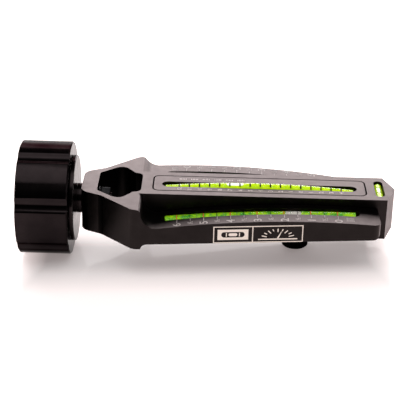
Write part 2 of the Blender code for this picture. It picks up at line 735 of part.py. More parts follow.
def make_carrier():
    """Rocking carrier of the castor vial, its pivot and its vial."""
    half_length = POCKET_HALF_LENGTH - CARRIER_GAP
    half_width = POCKET_HALF_WIDTH - CARRIER_GAP
    plan = pocket_outline(half_length, half_width, POCKET_CORNER - CARRIER_GAP)
    carrier = add(
        "castor_carrier",
        prism_mesh(plan, CARRIER_UNDERSIDE_Z, BODY_HEIGHT),
        BLACK_ANODISED,
        carrier_pivot,
        at(POCKET_MIDDLE_X),
    )
    top_z = BODY_HEIGHT + CASTOR_TUBE_ABOVE_TOP
    floor = bend_path(
        POCKET_MIDDLE_X,
        POCKET_MIDDLE_X,
        top_z - CASTOR_TUBE_RADIUS - SEAT_GAP,
        CASTOR_SLOT_Y,
        CASTOR_TUBE_RADIUS,
        CASTOR_TUBE_BEND,
        CASTOR_SLOT_HALF_LENGTH,
        overrun=OVERRUN,
    )
    slot = slot_cutter(
        "castor_slot_cut", POCKET_MIDDLE_X, CASTOR_SLOT_Y, CASTOR_SLOT_HALF_LENGTH, CASTOR_SLOT_WIDTH, floor
    )
    notch = add_cutter(
        "pivot_notch_cut",
        prism_mesh(
            pocket_outline(
                PIVOT_BLOCK_HALF_LENGTH + PIVOT_NOTCH_GAP,
                PIVOT_BLOCK_HALF_WIDTH + SEAT_GAP,
                PIVOT_NOTCH_GAP,
            ),
            CARRIER_UNDERSIDE_Z - OVERRUN,
            PIVOT_Z + PIVOT_BLOCK_ABOVE_PIN + PIVOT_NOTCH_GAP,
        ),
        at(PIVOT_X),
    )
    pin_hole = drill(
        "pin_hole", PIVOT_PIN_RADIUS + RUNNING_GAP, -half_width - OVERRUN, half_width + OVERRUN,
        along_y(PIVOT_X, 0, PIVOT_Z),
    )
    nut_hole = drill(
        "nut_hole", NUT_RADIUS + RUNNING_GAP, CARRIER_UNDERSIDE_Z - OVERRUN,
        NUT_UNDERSIDE_Z + NUT_HEIGHT + SEAT_GAP, at(KNOB_X), SIDES,
    )
    spring_seat = drill(
        "spring_seat", SPRING_SEAT_RADIUS, CARRIER_UNDERSIDE_Z - OVERRUN,
        NUT_UNDERSIDE_Z - SEAT_GAP, at(KNOB_X), SIDES,
    )
    screw_well = drill(
        "screw_well", SCREW_RADIUS + SEAT_GAP * 2, CARRIER_UNDERSIDE_Z - OVERRUN, SCREW_BORE_TOP_Z, at(KNOB_X)
    )
    cut(carrier, slot, notch, pin_hole, nut_hole, spring_seat, screw_well)
    make_bent_vial(
        "castor_vial",
        (
            CASTOR_TUBE_RADIUS,
            CASTOR_TUBE_BORE,
            tube_half_length(CASTOR_SLOT_HALF_LENGTH, CASTOR_SLOT_WIDTH, CASTOR_TUBE_RADIUS),
        ),
        (POCKET_MIDDLE_X, POCKET_MIDDLE_X, top_z, CASTOR_SLOT_Y, CASTOR_TUBE_BEND),
        CASTOR_BUBBLE_X,
        YELLOW_LIQUID,
        carrier_pivot,
    )
    for end in (-1, 1):
        x = POCKET_MIDDLE_X + end * CASTOR_GRUB_FROM_MIDDLE
        centre_z = bend_height(x, POCKET_MIDDLE_X, top_z, CASTOR_TUBE_RADIUS, CASTOR_TUBE_BEND)
        high = centre_z - CASTOR_TUBE_RADIUS - SEAT_GAP
        hole = drill(
            f"castor_grub_hole_{(end + 3) // 2}", GRUB_RADIUS + RUNNING_GAP,
            CARRIER_UNDERSIDE_Z - OVERRUN, centre_z, at(x, CASTOR_SLOT_Y),
        )
        cut(carrier, hole)
        low = CARRIER_UNDERSIDE_Z + GRUB_RECESS
        make_grub(f"castor_vial_grub_{(end + 3) // 2}", x, CASTOR_SLOT_Y, low, high, carrier_pivot)
    smooth(carrier)


def make_pivot():
    """Pivot block on the pocket floor, its screw and the pin through carrier and block."""
    block = add(
        "pivot_block",
        prism_mesh(
            pocket_outline(PIVOT_BLOCK_HALF_LENGTH, PIVOT_BLOCK_HALF_WIDTH, PIVOT_NOTCH_GAP),
            POCKET_FLOOR_Z + SEAT_GAP,
            PIVOT_Z + PIVOT_BLOCK_ABOVE_PIN,
        ),
        BRIGHT_STEEL,
        matrix=at(PIVOT_X),
    )
    block_bore = drill(
        "block_bore", PIVOT_PIN_RADIUS + RUNNING_GAP, -PIVOT_BLOCK_HALF_WIDTH - OVERRUN,
        PIVOT_BLOCK_HALF_WIDTH + OVERRUN, along_y(PIVOT_X, 0, PIVOT_Z),
    )
    thread_hole = drill(
        "block_thread", BLOCK_SCREW_RADIUS + RUNNING_GAP, 0, BLOCK_SCREW_DEPTH + SEAT_GAP, at(PIVOT_X)
    )
    cut(block, block_bore, thread_hole)
    half_length = POCKET_HALF_WIDTH - CARRIER_GAP - SEAT_GAP
    pin_mesh = cylinder_mesh(PIVOT_PIN_RADIUS, -half_length, half_length, SMALL_SIDES)
    pin = add("carrier_pivot_pin", pin_mesh, BRIGHT_STEEL, carrier_pivot, along_y(PIVOT_X, 0, PIVOT_Z))
    head_top = SEAT_GAP + BLOCK_SCREW_HEAD_HEIGHT
    profile = [
        (0, BLOCK_SCREW_DEPTH),
        (BLOCK_SCREW_RADIUS, BLOCK_SCREW_DEPTH),
        (BLOCK_SCREW_RADIUS, head_top),
        (BLOCK_SCREW_HEAD_RADIUS, head_top),
        (BLOCK_SCREW_HEAD_RADIUS, SEAT_GAP),
        (0, SEAT_GAP),
    ]
    screw = add("pivot_block_screw", profile_mesh(profile, False), BLACK_STEEL, matrix=at(PIVOT_X))
    turn(screw, SMALL_SIDES)
    socket = drill("block_screw_socket", GRUB_SOCKET_RADIUS, -OVERRUN, GRUB_SOCKET_DEPTH, at(PIVOT_X), 6)
    cut(screw, socket)
    smooth(block, pin, screw)


def knurl_outline():
    """Plan of the knob's knurled edge."""
    points = []
    for tooth in range(KNURL_COUNT * 2):
        radius = KNOB_RADIUS - KNURL_DEPTH * (tooth % 2)
        angle = math.pi * tooth / KNURL_COUNT
        points.append((radius * math.cos(angle), radius * math.sin(angle)))
    return points


def chamfered_profile(radius, chamfer, low, high):
    """Profile of a blank that chamfers the rims of a round piece and clears it everywhere else."""
    return [
        (0, high + OVERRUN),
        (radius - chamfer - OVERRUN, high + OVERRUN),
        (radius + OVERRUN, high - chamfer - OVERRUN),
        (radius + OVERRUN, low + chamfer + OVERRUN),
        (radius - chamfer - OVERRUN, low - OVERRUN),
        (0, low - OVERRUN),
    ]


def ring_profile(radius, bore, low, high):
    """Closed profile of a plain ring."""
    return [(radius, high), (radius, low), (bore, low), (bore, high)]


def make_adjuster():
    """Knob under the spine, its screw, washer, clip and spring, and the nut in the carrier."""
    washer_high = -SEAT_GAP
    washer_low = washer_high - WASHER_THICKNESS
    knob_high = washer_low - SEAT_GAP
    knob_low = knob_high - KNOB_HEIGHT
    knob = add("adjusting_knob", prism_mesh(knurl_outline(), knob_low, knob_high), BLACK_ANODISED, knob_axis,
               at(KNOB_X))
    blank = add_cutter(
        "knob_blank", profile_mesh(chamfered_profile(KNOB_RADIUS, KNOB_CHAMFER, knob_low, knob_high), False),
        at(KNOB_X),
    )
    turn(blank, FINE_SIDES)
    combine(knob, "INTERSECT", [blank])
    shank_foot = knob_high - KNOB_BORE_DEPTH
    cut(knob, drill("knob_bore", SCREW_RADIUS + RUNNING_GAP, shank_foot - SEAT_GAP, OVERRUN, at(KNOB_X)))
    screw_mesh = cylinder_mesh(SCREW_RADIUS, shank_foot, SCREW_TOP_Z, SMALL_SIDES)
    screw = add("adjusting_screw", screw_mesh, BRIGHT_STEEL, knob_axis, at(KNOB_X))
    groove_low = POCKET_FLOOR_Z + SEAT_GAP
    groove_high = groove_low + CLIP_THICKNESS
    ring_bore = SCREW_RADIUS + RUNNING_GAP
    washer = add(
        "knob_washer", profile_mesh(ring_profile(WASHER_RADIUS, ring_bore, washer_low, washer_high), True),
        BRIGHT_STEEL, knob_axis, at(KNOB_X),
    )
    clip = add(
        "screw_clip", profile_mesh(ring_profile(CLIP_RADIUS, ring_bore, groove_low, groove_high), True),
        SPRING_STEEL, knob_axis, at(KNOB_X),
    )
    nut_bore = SCREW_RADIUS + SEAT_GAP
    nut_high = NUT_UNDERSIDE_Z + NUT_HEIGHT
    nut = add(
        "carrier_nut", profile_mesh(ring_profile(NUT_RADIUS, nut_bore, NUT_UNDERSIDE_Z, nut_high), True),
        BRASS, carrier_pivot, at(KNOB_X),
    )
    turn(washer, SMALL_SIDES)
    turn(clip, SMALL_SIDES)
    turn(nut, SIDES)
    coil_low = POCKET_FLOOR_Z + SEAT_GAP + SPRING_WIRE_RADIUS
    coil_high = NUT_UNDERSIDE_Z - SEAT_GAP * 2 - SPRING_WIRE_RADIUS
    points_in_turn = 10
    count = round(SPRING_TURNS * points_in_turn)
    path = []
    for number in range(count + 1):
        angle = math.tau * number / points_in_turn
        height = coil_low + (coil_high - coil_low) * number / count
        path.append((KNOB_X + SPRING_RADIUS * math.cos(angle), SPRING_RADIUS * math.sin(angle), height))
    spring = add("carrier_spring", rod_mesh(path, SPRING_WIRE_RADIUS, 6), SPRING_STEEL)
    pitch = (coil_high - coil_low) / SPRING_TURNS
    print("carrier_spring least gap to itself, mm:", round((pitch - SPRING_WIRE_RADIUS * 2) * 1000, 2))
    smooth(screw, spring)


def make_level():
    """Cross level in the end block: a straight clear tube, its liquid and two plugs."""
    centre_z = BODY_HEIGHT - LEVEL_TUBE_BELOW_TOP - LEVEL_TUBE_RADIUS
    across = Euler((-math.pi / 2, 0, 0)).to_matrix().to_4x4()
    place = at(LEVEL_SLOT_X, 0, centre_z) @ across
    half = tube_half_length(LEVEL_SLOT_HALF_LENGTH, LEVEL_SLOT_WIDTH, LEVEL_TUBE_RADIUS)
    tube = add("level_vial_tube", cylinder_mesh(LEVEL_TUBE_RADIUS, -half, half, SMALL_SIDES), CLEAR_ACRYLIC,
               matrix=place)
    cut(tube, drill("level_bore", LEVEL_TUBE_BORE, -half - OVERRUN, half + OVERRUN, place))
    liquid_radius = LEVEL_TUBE_BORE - RUNNING_GAP
    liquid_half = half - PLUG_LENGTH - SEAT_GAP
    liquid = add("level_vial_liquid", cylinder_mesh(liquid_radius, -liquid_half, liquid_half, SMALL_SIDES),
                 YELLOW_LIQUID, matrix=place)
    bubble_place = at(LEVEL_SLOT_X, LEVEL_BUBBLE_Y, centre_z + liquid_radius)
    quarter = Euler((0, 0, math.pi / 2)).to_matrix().to_4x4()
    cut(liquid, make_bubble_cutter("level_bubble", LEVEL_BUBBLE_LENGTH, bubble_place @ quarter))
    for end in (-1, 1):
        low, high = sorted((end * (half - PLUG_LENGTH), end * half))
        plug = add(f"level_vial_plug_{(end + 3) // 2}", cylinder_mesh(liquid_radius, low, high, SMALL_SIDES),
                   YELLOW_LIQUID, matrix=place)
        smooth(plug)
    smooth(tube, liquid)


def housing_outline():
    """Cross-section of the fluted housing, its first flute a little off straight down."""
    points = []
    step_angle = math.tau / FLUTE_COUNT
    land_end = FLUTE_HALF_ANGLE + EDGE_BREAK_ANGLE
    reach = HOUSING_RADIUS * math.sin(FLUTE_HALF_ANGLE)
    flute_sweep = math.asin(reach / FLUTE_RADIUS) - FLUTE_EDGE_BREAK / FLUTE_RADIUS
    for flute in range(FLUTE_COUNT):
        middle = FLUTE_TURN + flute * step_angle
        centre_x = FLUTE_DISTANCE * math.cos(middle)
        centre_y = FLUTE_DISTANCE * math.sin(middle)
        points += arc(centre_x, centre_y, FLUTE_RADIUS, middle + math.pi + flute_sweep,
                      middle + math.pi - flute_sweep, 8)
        points += arc(0, 0, HOUSING_RADIUS, middle + land_end, middle + step_angle - land_end, 5)
    return points


def screw_spots(turn_angle):
    """Places of the screws round the swivel axis, as (y, z) of the body."""
    spots = []
    for number in range(SCREWS_ON_CIRCLE):
        angle = turn_angle + math.tau * number / SCREWS_ON_CIRCLE
        across = SCREW_CIRCLE_RADIUS * math.cos(angle)
        spots.append((across, SWIVEL_Z + SCREW_CIRCLE_RADIUS * math.sin(angle)))
    return spots


def make_socket_screw(name, head_x, tip_x, spot):
    """Cap screw along +X with its hexagon socket at head_x."""
    profile = [
        (0, tip_x),
        (SHANK_RADIUS, tip_x),
        (SHANK_RADIUS, head_x + HEAD_HEIGHT),
        (HEAD_RADIUS, head_x + HEAD_HEIGHT),
        (HEAD_RADIUS, head_x),
        (0, head_x),
    ]
    place = along_x(0, *spot)
    screw = turn(add(name, profile_mesh(profile, False), BLACK_STEEL, swivel_axis, place), SMALL_SIDES)
    socket = drill(
        name + "_socket", HEAD_SOCKET_RADIUS, head_x - OVERRUN, head_x + HEAD_SOCKET_DEPTH, place, 6
    )
    cut(screw, socket)


def make_adaptor():
    """Fluted housing with its ring magnet, backing plate and screws."""
    axis = along_x(0, 0, SWIVEL_Z)
    # In the housing's own frame +X is the body's -Z, so an angle of 0 faces down
    housing = add("adaptor_housing", prism_mesh(housing_outline(), HOUSING_LEFT_X, HOUSING_RIGHT_X),
                  BLACK_ANODISED, swivel_axis, axis)
    blank_profile = chamfered_profile(HOUSING_RADIUS, HOUSING_CHAMFER, HOUSING_LEFT_X, HOUSING_RIGHT_X)
    blank = add_cutter("housing_blank", profile_mesh(blank_profile, False), axis)
    turn(blank, FINE_SIDES * 2)
    combine(housing, "INTERSECT", [blank])
    magnet_low = HOUSING_LEFT_X + MAGNET_FACE_INSET
    magnet_high = magnet_low + MAGNET_THICKNESS
    plate_low = magnet_high + SEAT_GAP
    plate_high = plate_low + BACKPLATE_THICKNESS
    recess_floor = plate_high + SEAT_GAP
    recess = drill(
        "magnet_recess", MAGNET_RECESS_RADIUS, HOUSING_LEFT_X - OVERRUN, recess_floor, axis, FINE_SIDES
    )
    spigot_hole = drill("spigot_hole", SPIGOT_RADIUS + RUNNING_GAP, recess_floor - OVERRUN,
                        HOUSING_RIGHT_X + OVERRUN, axis, SIDES)
    cut(housing, recess, spigot_hole)
    fit_radius = MAGNET_RECESS_RADIUS - SEAT_GAP
    magnet_profile = ring_profile(fit_radius, MAGNET_HOLE_RADIUS, magnet_low, magnet_high)
    magnet = add("magnet_ring", profile_mesh(magnet_profile, True), NICKEL_MAGNET, swivel_axis, axis)
    plate_profile = ring_profile(fit_radius, MAGNET_HOLE_RADIUS, plate_low, plate_high)
    plate = add("magnet_backplate", profile_mesh(plate_profile, True), BRIGHT_STEEL, swivel_axis, axis)
    turn(magnet, FINE_SIDES)
    turn(plate, FINE_SIDES)
    head_x = magnet_low + SEAT_GAP
    tip_x = recess_floor + MAGNET_SCREW_GRIP
    for number, spot in enumerate(screw_spots(math.pi / 2), 1):
        place = along_x(0, *spot)
        make_socket_screw(f"magnet_screw_{number}", head_x, tip_x, spot)
        shank = drill(f"magnet_screw_hole_{number}", SHANK_RADIUS + RUNNING_GAP, HOUSING_LEFT_X - OVERRUN,
                      tip_x + SEAT_GAP, place)
        head = drill(f"magnet_head_hole_{number}", HEAD_RADIUS + SEAT_GAP, HOUSING_LEFT_X - OVERRUN,
                     head_x + HEAD_HEIGHT + SEAT_GAP, place)
        cut(magnet, head, shank)
        cut(plate, shank)
        cut(housing, shank)
    make_spindle(housing, recess_floor)


def make_spindle(housing, recess_floor):
    """Spindle screwed to the housing, with the bush, spring washer and nut that hold the body on it."""
    axis = along_x(0, 0, SWIVEL_Z)
    disc_low = HOUSING_RIGHT_X + SEAT_GAP
    disc_high = disc_low + DISC_THICKNESS
    neck_high = -SEAT_GAP
    washer_low = WINDOW_LEFT_X + SEAT_GAP
    washer_high = washer_low + SPRING_WASHER_THICKNESS + SPRING_WASHER_DISH
    nut_low = washer_high + SEAT_GAP
    nut_high = nut_low + SPINDLE_NUT_HEIGHT
    journal_high = WINDOW_LEFT_X - SEAT_GAP
    spigot_low = disc_low - SPIGOT_LENGTH
    profile = [
        (0, nut_high + THREAD_PAST_NUT),
        (THREAD_RADIUS, nut_high + THREAD_PAST_NUT),
        (THREAD_RADIUS, journal_high),
        (JOURNAL_RADIUS, journal_high),
        (JOURNAL_RADIUS, neck_high),
        (NECK_RADIUS, neck_high),
        (NECK_RADIUS, disc_high),
        (DISC_RADIUS - DISC_EDGE_BREAK, disc_high),
        (DISC_RADIUS, disc_high - DISC_EDGE_BREAK),
        (DISC_RADIUS, disc_low),
        (SPIGOT_RADIUS, disc_low),
        (SPIGOT_RADIUS, spigot_low),
        (0, spigot_low),
    ]
    spindle = add("adaptor_spindle", profile_mesh(profile, False), BLACK_ANODISED, swivel_axis, axis)
    turn(spindle, SIDES)
    head_x = recess_floor + SEAT_GAP
    tip_x = disc_high - FLANGE_WALL - SEAT_GAP
    for number, spot in enumerate(screw_spots(-math.pi / 2), 1):
        place = along_x(0, *spot)
        make_socket_screw(f"flange_screw_{number}", head_x, tip_x, spot)
        shank = drill(f"flange_screw_hole_{number}", SHANK_RADIUS + RUNNING_GAP, recess_floor - OVERRUN,
                      tip_x + SEAT_GAP, place)
        head = drill(f"flange_head_hole_{number}", HEAD_RADIUS + SEAT_GAP, recess_floor - OVERRUN,
                     head_x + HEAD_HEIGHT + SEAT_GAP, place)
        cut(housing, head, shank)
        cut(spindle, shank)
    bush_bore = JOURNAL_RADIUS + RUNNING_GAP
    bush_profile = ring_profile(bush_bore + BUSH_WALL, bush_bore, 0, WINDOW_LEFT_X)
    bush = add("spindle_bush", profile_mesh(bush_profile, True), BRASS, matrix=axis)
    turn(bush, SIDES)
    washer_bore = THREAD_RADIUS + SEAT_GAP
    washer_profile = [
        (SPRING_WASHER_RADIUS, washer_low + SPRING_WASHER_THICKNESS),
        (SPRING_WASHER_RADIUS, washer_low),
        (washer_bore, washer_high - SPRING_WASHER_THICKNESS),
        (washer_bore, washer_high),
    ]
    washer = add("spindle_washer", profile_mesh(washer_profile, True), SPRING_STEEL, swivel_axis, axis)
    turn(washer, SIDES)
    flat_up = axis @ Euler((0, 0, math.pi / 6)).to_matrix().to_4x4()
    nut_mesh = cylinder_mesh(SPINDLE_NUT_RADIUS, nut_low, nut_high, 6)
    nut = add("spindle_nut", nut_mesh, BLACK_STEEL, swivel_axis, flat_up)
    nut_bore = drill(
        "spindle_nut_bore", THREAD_RADIUS + RUNNING_GAP, nut_low - OVERRUN, nut_high + OVERRUN, axis, SIDES
    )
    cut(nut, nut_bore)
    smooth(housing)


make_body()
make_camber_vials()
make_carrier()
make_pivot()
make_adjuster()
make_level()
make_adaptor()
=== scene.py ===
"""Looks of a black anodised camber and castor gauge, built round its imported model.

Places on the gauge are body measures: x from the body's left face, y from the spine's centre towards the far
wing, z from the body's underside. Metres throughout.
"""
import math

import bmesh
import bpy
from mathutils import Matrix, Vector


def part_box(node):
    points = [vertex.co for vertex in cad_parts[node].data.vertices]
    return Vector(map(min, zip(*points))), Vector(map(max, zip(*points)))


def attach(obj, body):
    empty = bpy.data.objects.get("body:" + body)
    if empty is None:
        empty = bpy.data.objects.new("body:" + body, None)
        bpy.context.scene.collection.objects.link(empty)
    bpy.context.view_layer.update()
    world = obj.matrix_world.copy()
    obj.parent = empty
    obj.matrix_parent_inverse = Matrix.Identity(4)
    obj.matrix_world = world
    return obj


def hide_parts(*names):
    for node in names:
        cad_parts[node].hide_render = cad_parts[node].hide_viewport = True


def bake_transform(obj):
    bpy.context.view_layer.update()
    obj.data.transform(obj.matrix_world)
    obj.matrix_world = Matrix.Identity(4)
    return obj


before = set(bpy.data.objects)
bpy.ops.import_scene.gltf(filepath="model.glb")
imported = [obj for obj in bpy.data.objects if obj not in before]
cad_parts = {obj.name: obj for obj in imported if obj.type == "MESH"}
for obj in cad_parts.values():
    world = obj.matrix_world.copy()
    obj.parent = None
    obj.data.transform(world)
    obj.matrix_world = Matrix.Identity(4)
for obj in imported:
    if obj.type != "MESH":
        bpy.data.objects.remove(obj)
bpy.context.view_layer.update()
body_low, body_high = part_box("gauge_body")
ORIGIN = Vector((body_low[0], 0, body_low[2]))

# Body
BODY_HEIGHT = 0.025
WING_FACE_Y = 0.0384
SCALE_MIDDLE_X = 0.105
LEDGE_RADIUS = 0.56
LEDGE_TOP_Z = 0.0205
LEDGE_APEX_OFFSET = 0.030
EDGE_BREAK = 0.00015

# Box round the window in the head
WINDOW_LOW_X = 0.008
WINDOW_HIGH_X = 0.0355
WINDOW_HALF_WIDTH = 0.0248

# Reach of the groove round the carrier
GROOVE_REACH = 0.0015

# A face is an upright wall where its normal rises by less than this share
UPRIGHT_SHARE = 0.2

# Copied solids: points nearer than this are joined, and edges that bend less are flat, smooth or unbroken
SOLID_WELD = 0.000002
FLAT_ANGLE = math.radians(0.6)
SMOOTH_ANGLE = math.radians(35)
BROKEN_EDGE_ANGLE = math.radians(38)
NORMAL_WEIGHT = 80

# Camber vials and their scales
CAMBER_Y = 0.0246
CAMBER_SLOT_HALF_WIDTH = 0.0041
CAMBER_RADIUS = 0.0037
CAMBER_BORE = 0.0027
CAMBER_HALF_LENGTH = 0.0548
CAMBER_BEND = 0.888
CAMBER_APEX_OFFSET = 0.0443
CAMBER_TOP_Z = 0.0204
DEGREES = 6
DEGREE_PITCH = 0.0154
ZERO_X = 0.1493
TICK_WIDTH = 0.00042
TICK_LENGTH = 0.0043
HALF_TICK_LENGTH = 0.0028
SCALE_EDGE_GAP = 0.0002
DIGIT_HEIGHT = 0.0047
DIGIT_WIDTH = 0.0040
HALF_MARK_HEIGHT = 0.0030
HALF_MARK_WIDTH = 0.0030
DIGIT_Y = 0.0358
HALF_MARK_Y = 0.0347
CAMBER_BUBBLE_X = 0.1240
CAMBER_BUBBLE_LENGTH = 0.0092
CAMBER_BUBBLE_DEPTH = 0.0013
FAR_BUBBLE_X = 0.0590

# Castor vial and its scale
CASTOR_MIDDLE_X = 0.1046
CASTOR_Y = -0.0013
CASTOR_RADIUS = 0.0033
CASTOR_BORE = 0.0024
CASTOR_HALF_LENGTH = 0.0551
CASTOR_BEND = 0.575
CASTOR_TOP_Z = 0.0267
CASTOR_TICKS = 17
CASTOR_PITCH = 0.00595
CASTOR_FIRST_X = 0.0574
CASTOR_FIRST_VALUE = 12
CASTOR_DIGIT_HEIGHT = 0.0026
CASTOR_DIGIT_WIDTH = 0.0027
CASTOR_DIGIT_Y = -0.0074
CASTOR_BUBBLE_X = 0.0903
CASTOR_BUBBLE_LENGTH = 0.0100
CASTOR_BUBBLE_DEPTH = 0.0002
BLOCK_Y = 0.0064
BLOCK_COUNT = 6
BLOCK_PITCH = 0.0069
BLOCK_BARS = 5
BLOCK_BAR_PITCH = 0.0009
BLOCK_BAR_WIDTH = 0.00042
BLOCK_BAR_LENGTH = 0.0017

# The block of bars beyond each camber scale's zero is spread this much wider
CAMBER_BAR_SPREAD = 1.1

# Cross level
LEVEL_X = 0.1755
LEVEL_RADIUS = 0.0024
LEVEL_BORE = 0.0017
LEVEL_HALF_LENGTH = 0.0091
LEVEL_CENTRE_Z = 0.0217
LEVEL_BUBBLE_Y = 0.0010
LEVEL_BUBBLE_LENGTH = 0.0060
LEVEL_BUBBLE_DEPTH = 0.00015
LEVEL_TICK_OFFSET = 0.0036

# Every vial: its plugs, the air beside them, its bubble's ends, and steps along its pieces and round them
VIAL_PLUG = 0.0025
PLUG_GAP = 0.00005
BUBBLE_BLUNTNESS = 4
RING_SIDES = 40
BAND_STEPS = 14
TUBE_STEPS = 36
LIQUID_STEPS = 20
BUBBLE_STEPS = 24
PLUG_STEPS = 4
RIM_BREAK = EDGE_BREAK * 0.8
RIM_ANGLE = math.radians(60)
VIAL_SMOOTH_ANGLE = math.radians(40)

# A liquid reaches this far into its tube's wall, so no air shows between them
WETTING = 0.00002

# A tube's face looks along the tube by at least this share where it is an end face
END_FACE_SHARE = 0.8

# Marks: points of an outline nearer than the weld are joined
INK_HEIGHT = 0.00004
MARK_WELD = 0.0000005
DIGIT_BOLDNESS = 0.012
DIGIT_CURVE_STEPS = 3
DIGIT_MOST_STRETCH = 1.3
QUARTER_TURN = math.pi / 2

# Lines printed over the vials: half widths along the vial, and angles from the top towards the near side
RING_WIDTH = 0.00045
RED_LINE = RING_WIDTH * 0.6
BLACK_LINE = RING_WIDTH * 0.4
FINE_LINE = RING_WIDTH * 0.3
CASTOR_LONG_LINE = RING_WIDTH * 0.9
CASTOR_SHORT_LINE = RING_WIDTH * 0.6
RING_SPAN = (math.radians(-75), math.radians(75))
FINE_SPAN = (-0.5, 0.5)
CASTOR_LONG_SPAN = (math.radians(-62), math.radians(45))
CASTOR_SHORT_SPAN = (math.radians(-62), 0)

# Engraved frame on the near wing
PANEL_LEFT_X = 0.0780
PANEL_RIGHT_X = 0.1292
PANEL_DIVIDER_X = 0.1005
PANEL_LOW_Z = 0.00525
PANEL_HEIGHT = 0.0105
PANEL_SLOPE = 0.0515
PANEL_LINE = 0.00055
CAPSULE_STEPS = 8

# Both signs in the frame, as shares of their field
SIGN_WIDTH = 0.78
SIGN_HEIGHT = 0.62

# Vial sign: the vial as shares of the block, and its bubble and lines as shares of the vial's radius
SIGN_VIAL_HALF_LENGTH = 0.38
SIGN_VIAL_RADIUS = 0.26
SIGN_BUBBLE_HALF_LENGTH = 1.5
SIGN_BUBBLE_RADIUS = 0.55
SIGN_LINE_OFFSET = 2.2
SIGN_LINE_LENGTH = 1.4

# Angle sign: strokes of a fan, the base line under it, and the needle
FAN_STROKES = 9
FAN_START = 20
FAN_SWEEP = 140
FAN_STRETCH = 1.5
FAN_INNER_SHARE = 0.8
FAN_LONG_STROKE = 0.86
BASE_DROP = 0.31
BASE_THICKNESS = 1.3
NEEDLE_LEAN = (0.45, 0.9)
NEEDLE_LENGTH = 0.45
NEEDLE_HALF_WIDTH = 0.8
NEEDLE_TAPER = 3

# View of the photograph; the body leans and stands off its ground by the tilt and the lift
FOCAL_PIXELS = 1318.3
PICTURE_PIXELS = 416
CENTRE_BELOW_PIXELS = 6.1
CAMERA_ELEVATION = math.radians(25.5)
CAMERA_YAW = math.radians(-0.842)
CAMERA_DISTANCE = 0.78949
BODY_TILT = math.radians(1.401)
BODY_LIFT = 0.01649
TARGET = Vector((0.074709, 0, 0.020))

# Level of the studio's stray light on dull faces
FILL_LEVEL = 0.30

# What polished faces see of the studio, from the front horizon (0) over the top to the back horizon (1)
STUDIO_SHARES = (
    (0.02, 0.03), (0.15, 0.05), (0.22, 0.13), (0.31, 0.26), (0.40, 0.45), (0.46, 0.65), (0.52, 1.0),
    (0.57, 0.25), (0.64, 0.08), (0.76, 0.12), (0.92, 1.0),
)

# Soft boxes: name, place, target, width, height, radiance and tint, from a zero under the gauge's middle
LAMPS = (
    ("back_box", (-0.20, 1.11, 0.50), (0.0, 0, 0.02), 1.5, 0.68, 5.3, (1, 0.95, 0.95)),
    ("side_box", (1.1, 1.0, 0.16), (0, 0, 0.03), 1.0, 0.55, 8.0, (1, 0.96, 0.96)),
    ("top_box", (0.0, -0.40, 1.2), (0, -0.1, 0), 1.5, 0.85, 1.5, (1, 0.98, 0.98)),
)

# Floor plane through the adaptor's lowest edge and the knob's rim
FLOOR_LEFT = Vector((-0.0062, 0, -0.019665))
FLOOR_RIGHT = Vector((0.1344, 0, -0.0129))
FLOOR_SIZE = 8
FLOOR_CELLS = 8

# Glow of the floor from before the gauge (0) to behind it (1), over this reach from its middle; its dip
# under and just before the gauge is a painted shadow
FLOOR_GLOW_REACH = 0.5
FLOOR_GLOW_AND_SHADOW_SHARES = ((0.40, 0.78), (0.44, 0.70), (0.475, 0.25), (0.50, 0.25), (0.54, 1.0))
FLOOR_GLOW_TINT = (1, 0.86, 0.84, 1)

# Middle of the painted shadow along the floor, a patch of dimmer glow, and the distances from it between
# which the patch fades
FLOOR_PAINTED_SHADOW_MIDDLE = 0.0804
FLOOR_PAINTED_SHADOW_START = 0.080
FLOOR_PAINTED_SHADOW_END = 0.125


def place(x, y, z):
    """World point of a body measure."""
    return ORIGIN + Vector((x, y, z))


# Material helpers


# A noise value lies mostly between these
NOISE_LOW = 0.3
NOISE_HIGH = 0.7


class Nodes:
    """A node tree, with short ways to add its nodes and link them."""

    def __init__(self, tree):
        self.tree = tree

    def node(self, kind, **values):
        """New node with some of its properties set."""
        made = self.tree.nodes.new(kind)
        for key, value in values.items():
            setattr(made, key, value)
        return made

    def link(self, source, target):
        """Link from an output to an input."""
        self.tree.links.new(source, target)

    def reckon(self, operation, *values):
        """Result of a math node, each value being an output or a number."""
        made = self.node("ShaderNodeMath", operation=operation)
        for socket, value in zip(made.inputs, values):
            if isinstance(value, bpy.types.NodeSocket):
                self.link(value, socket)
            else:
                socket.default_value = value
        return made.outputs[0]

    def grey_steps(self, factor, shares):
        """Grey that passes through the given levels at the given places of the factor."""
        made = self.node("ShaderNodeValToRGB")
        self.link(factor, made.inputs["Fac"])
        steps = made.color_ramp.elements
        while len(steps) < len(shares):
            steps.new(0.5)
        for step, (position, level) in zip(steps, shares):
            step.position = position
            step.color = (level, level, level, 1)
        return made.outputs["Color"]


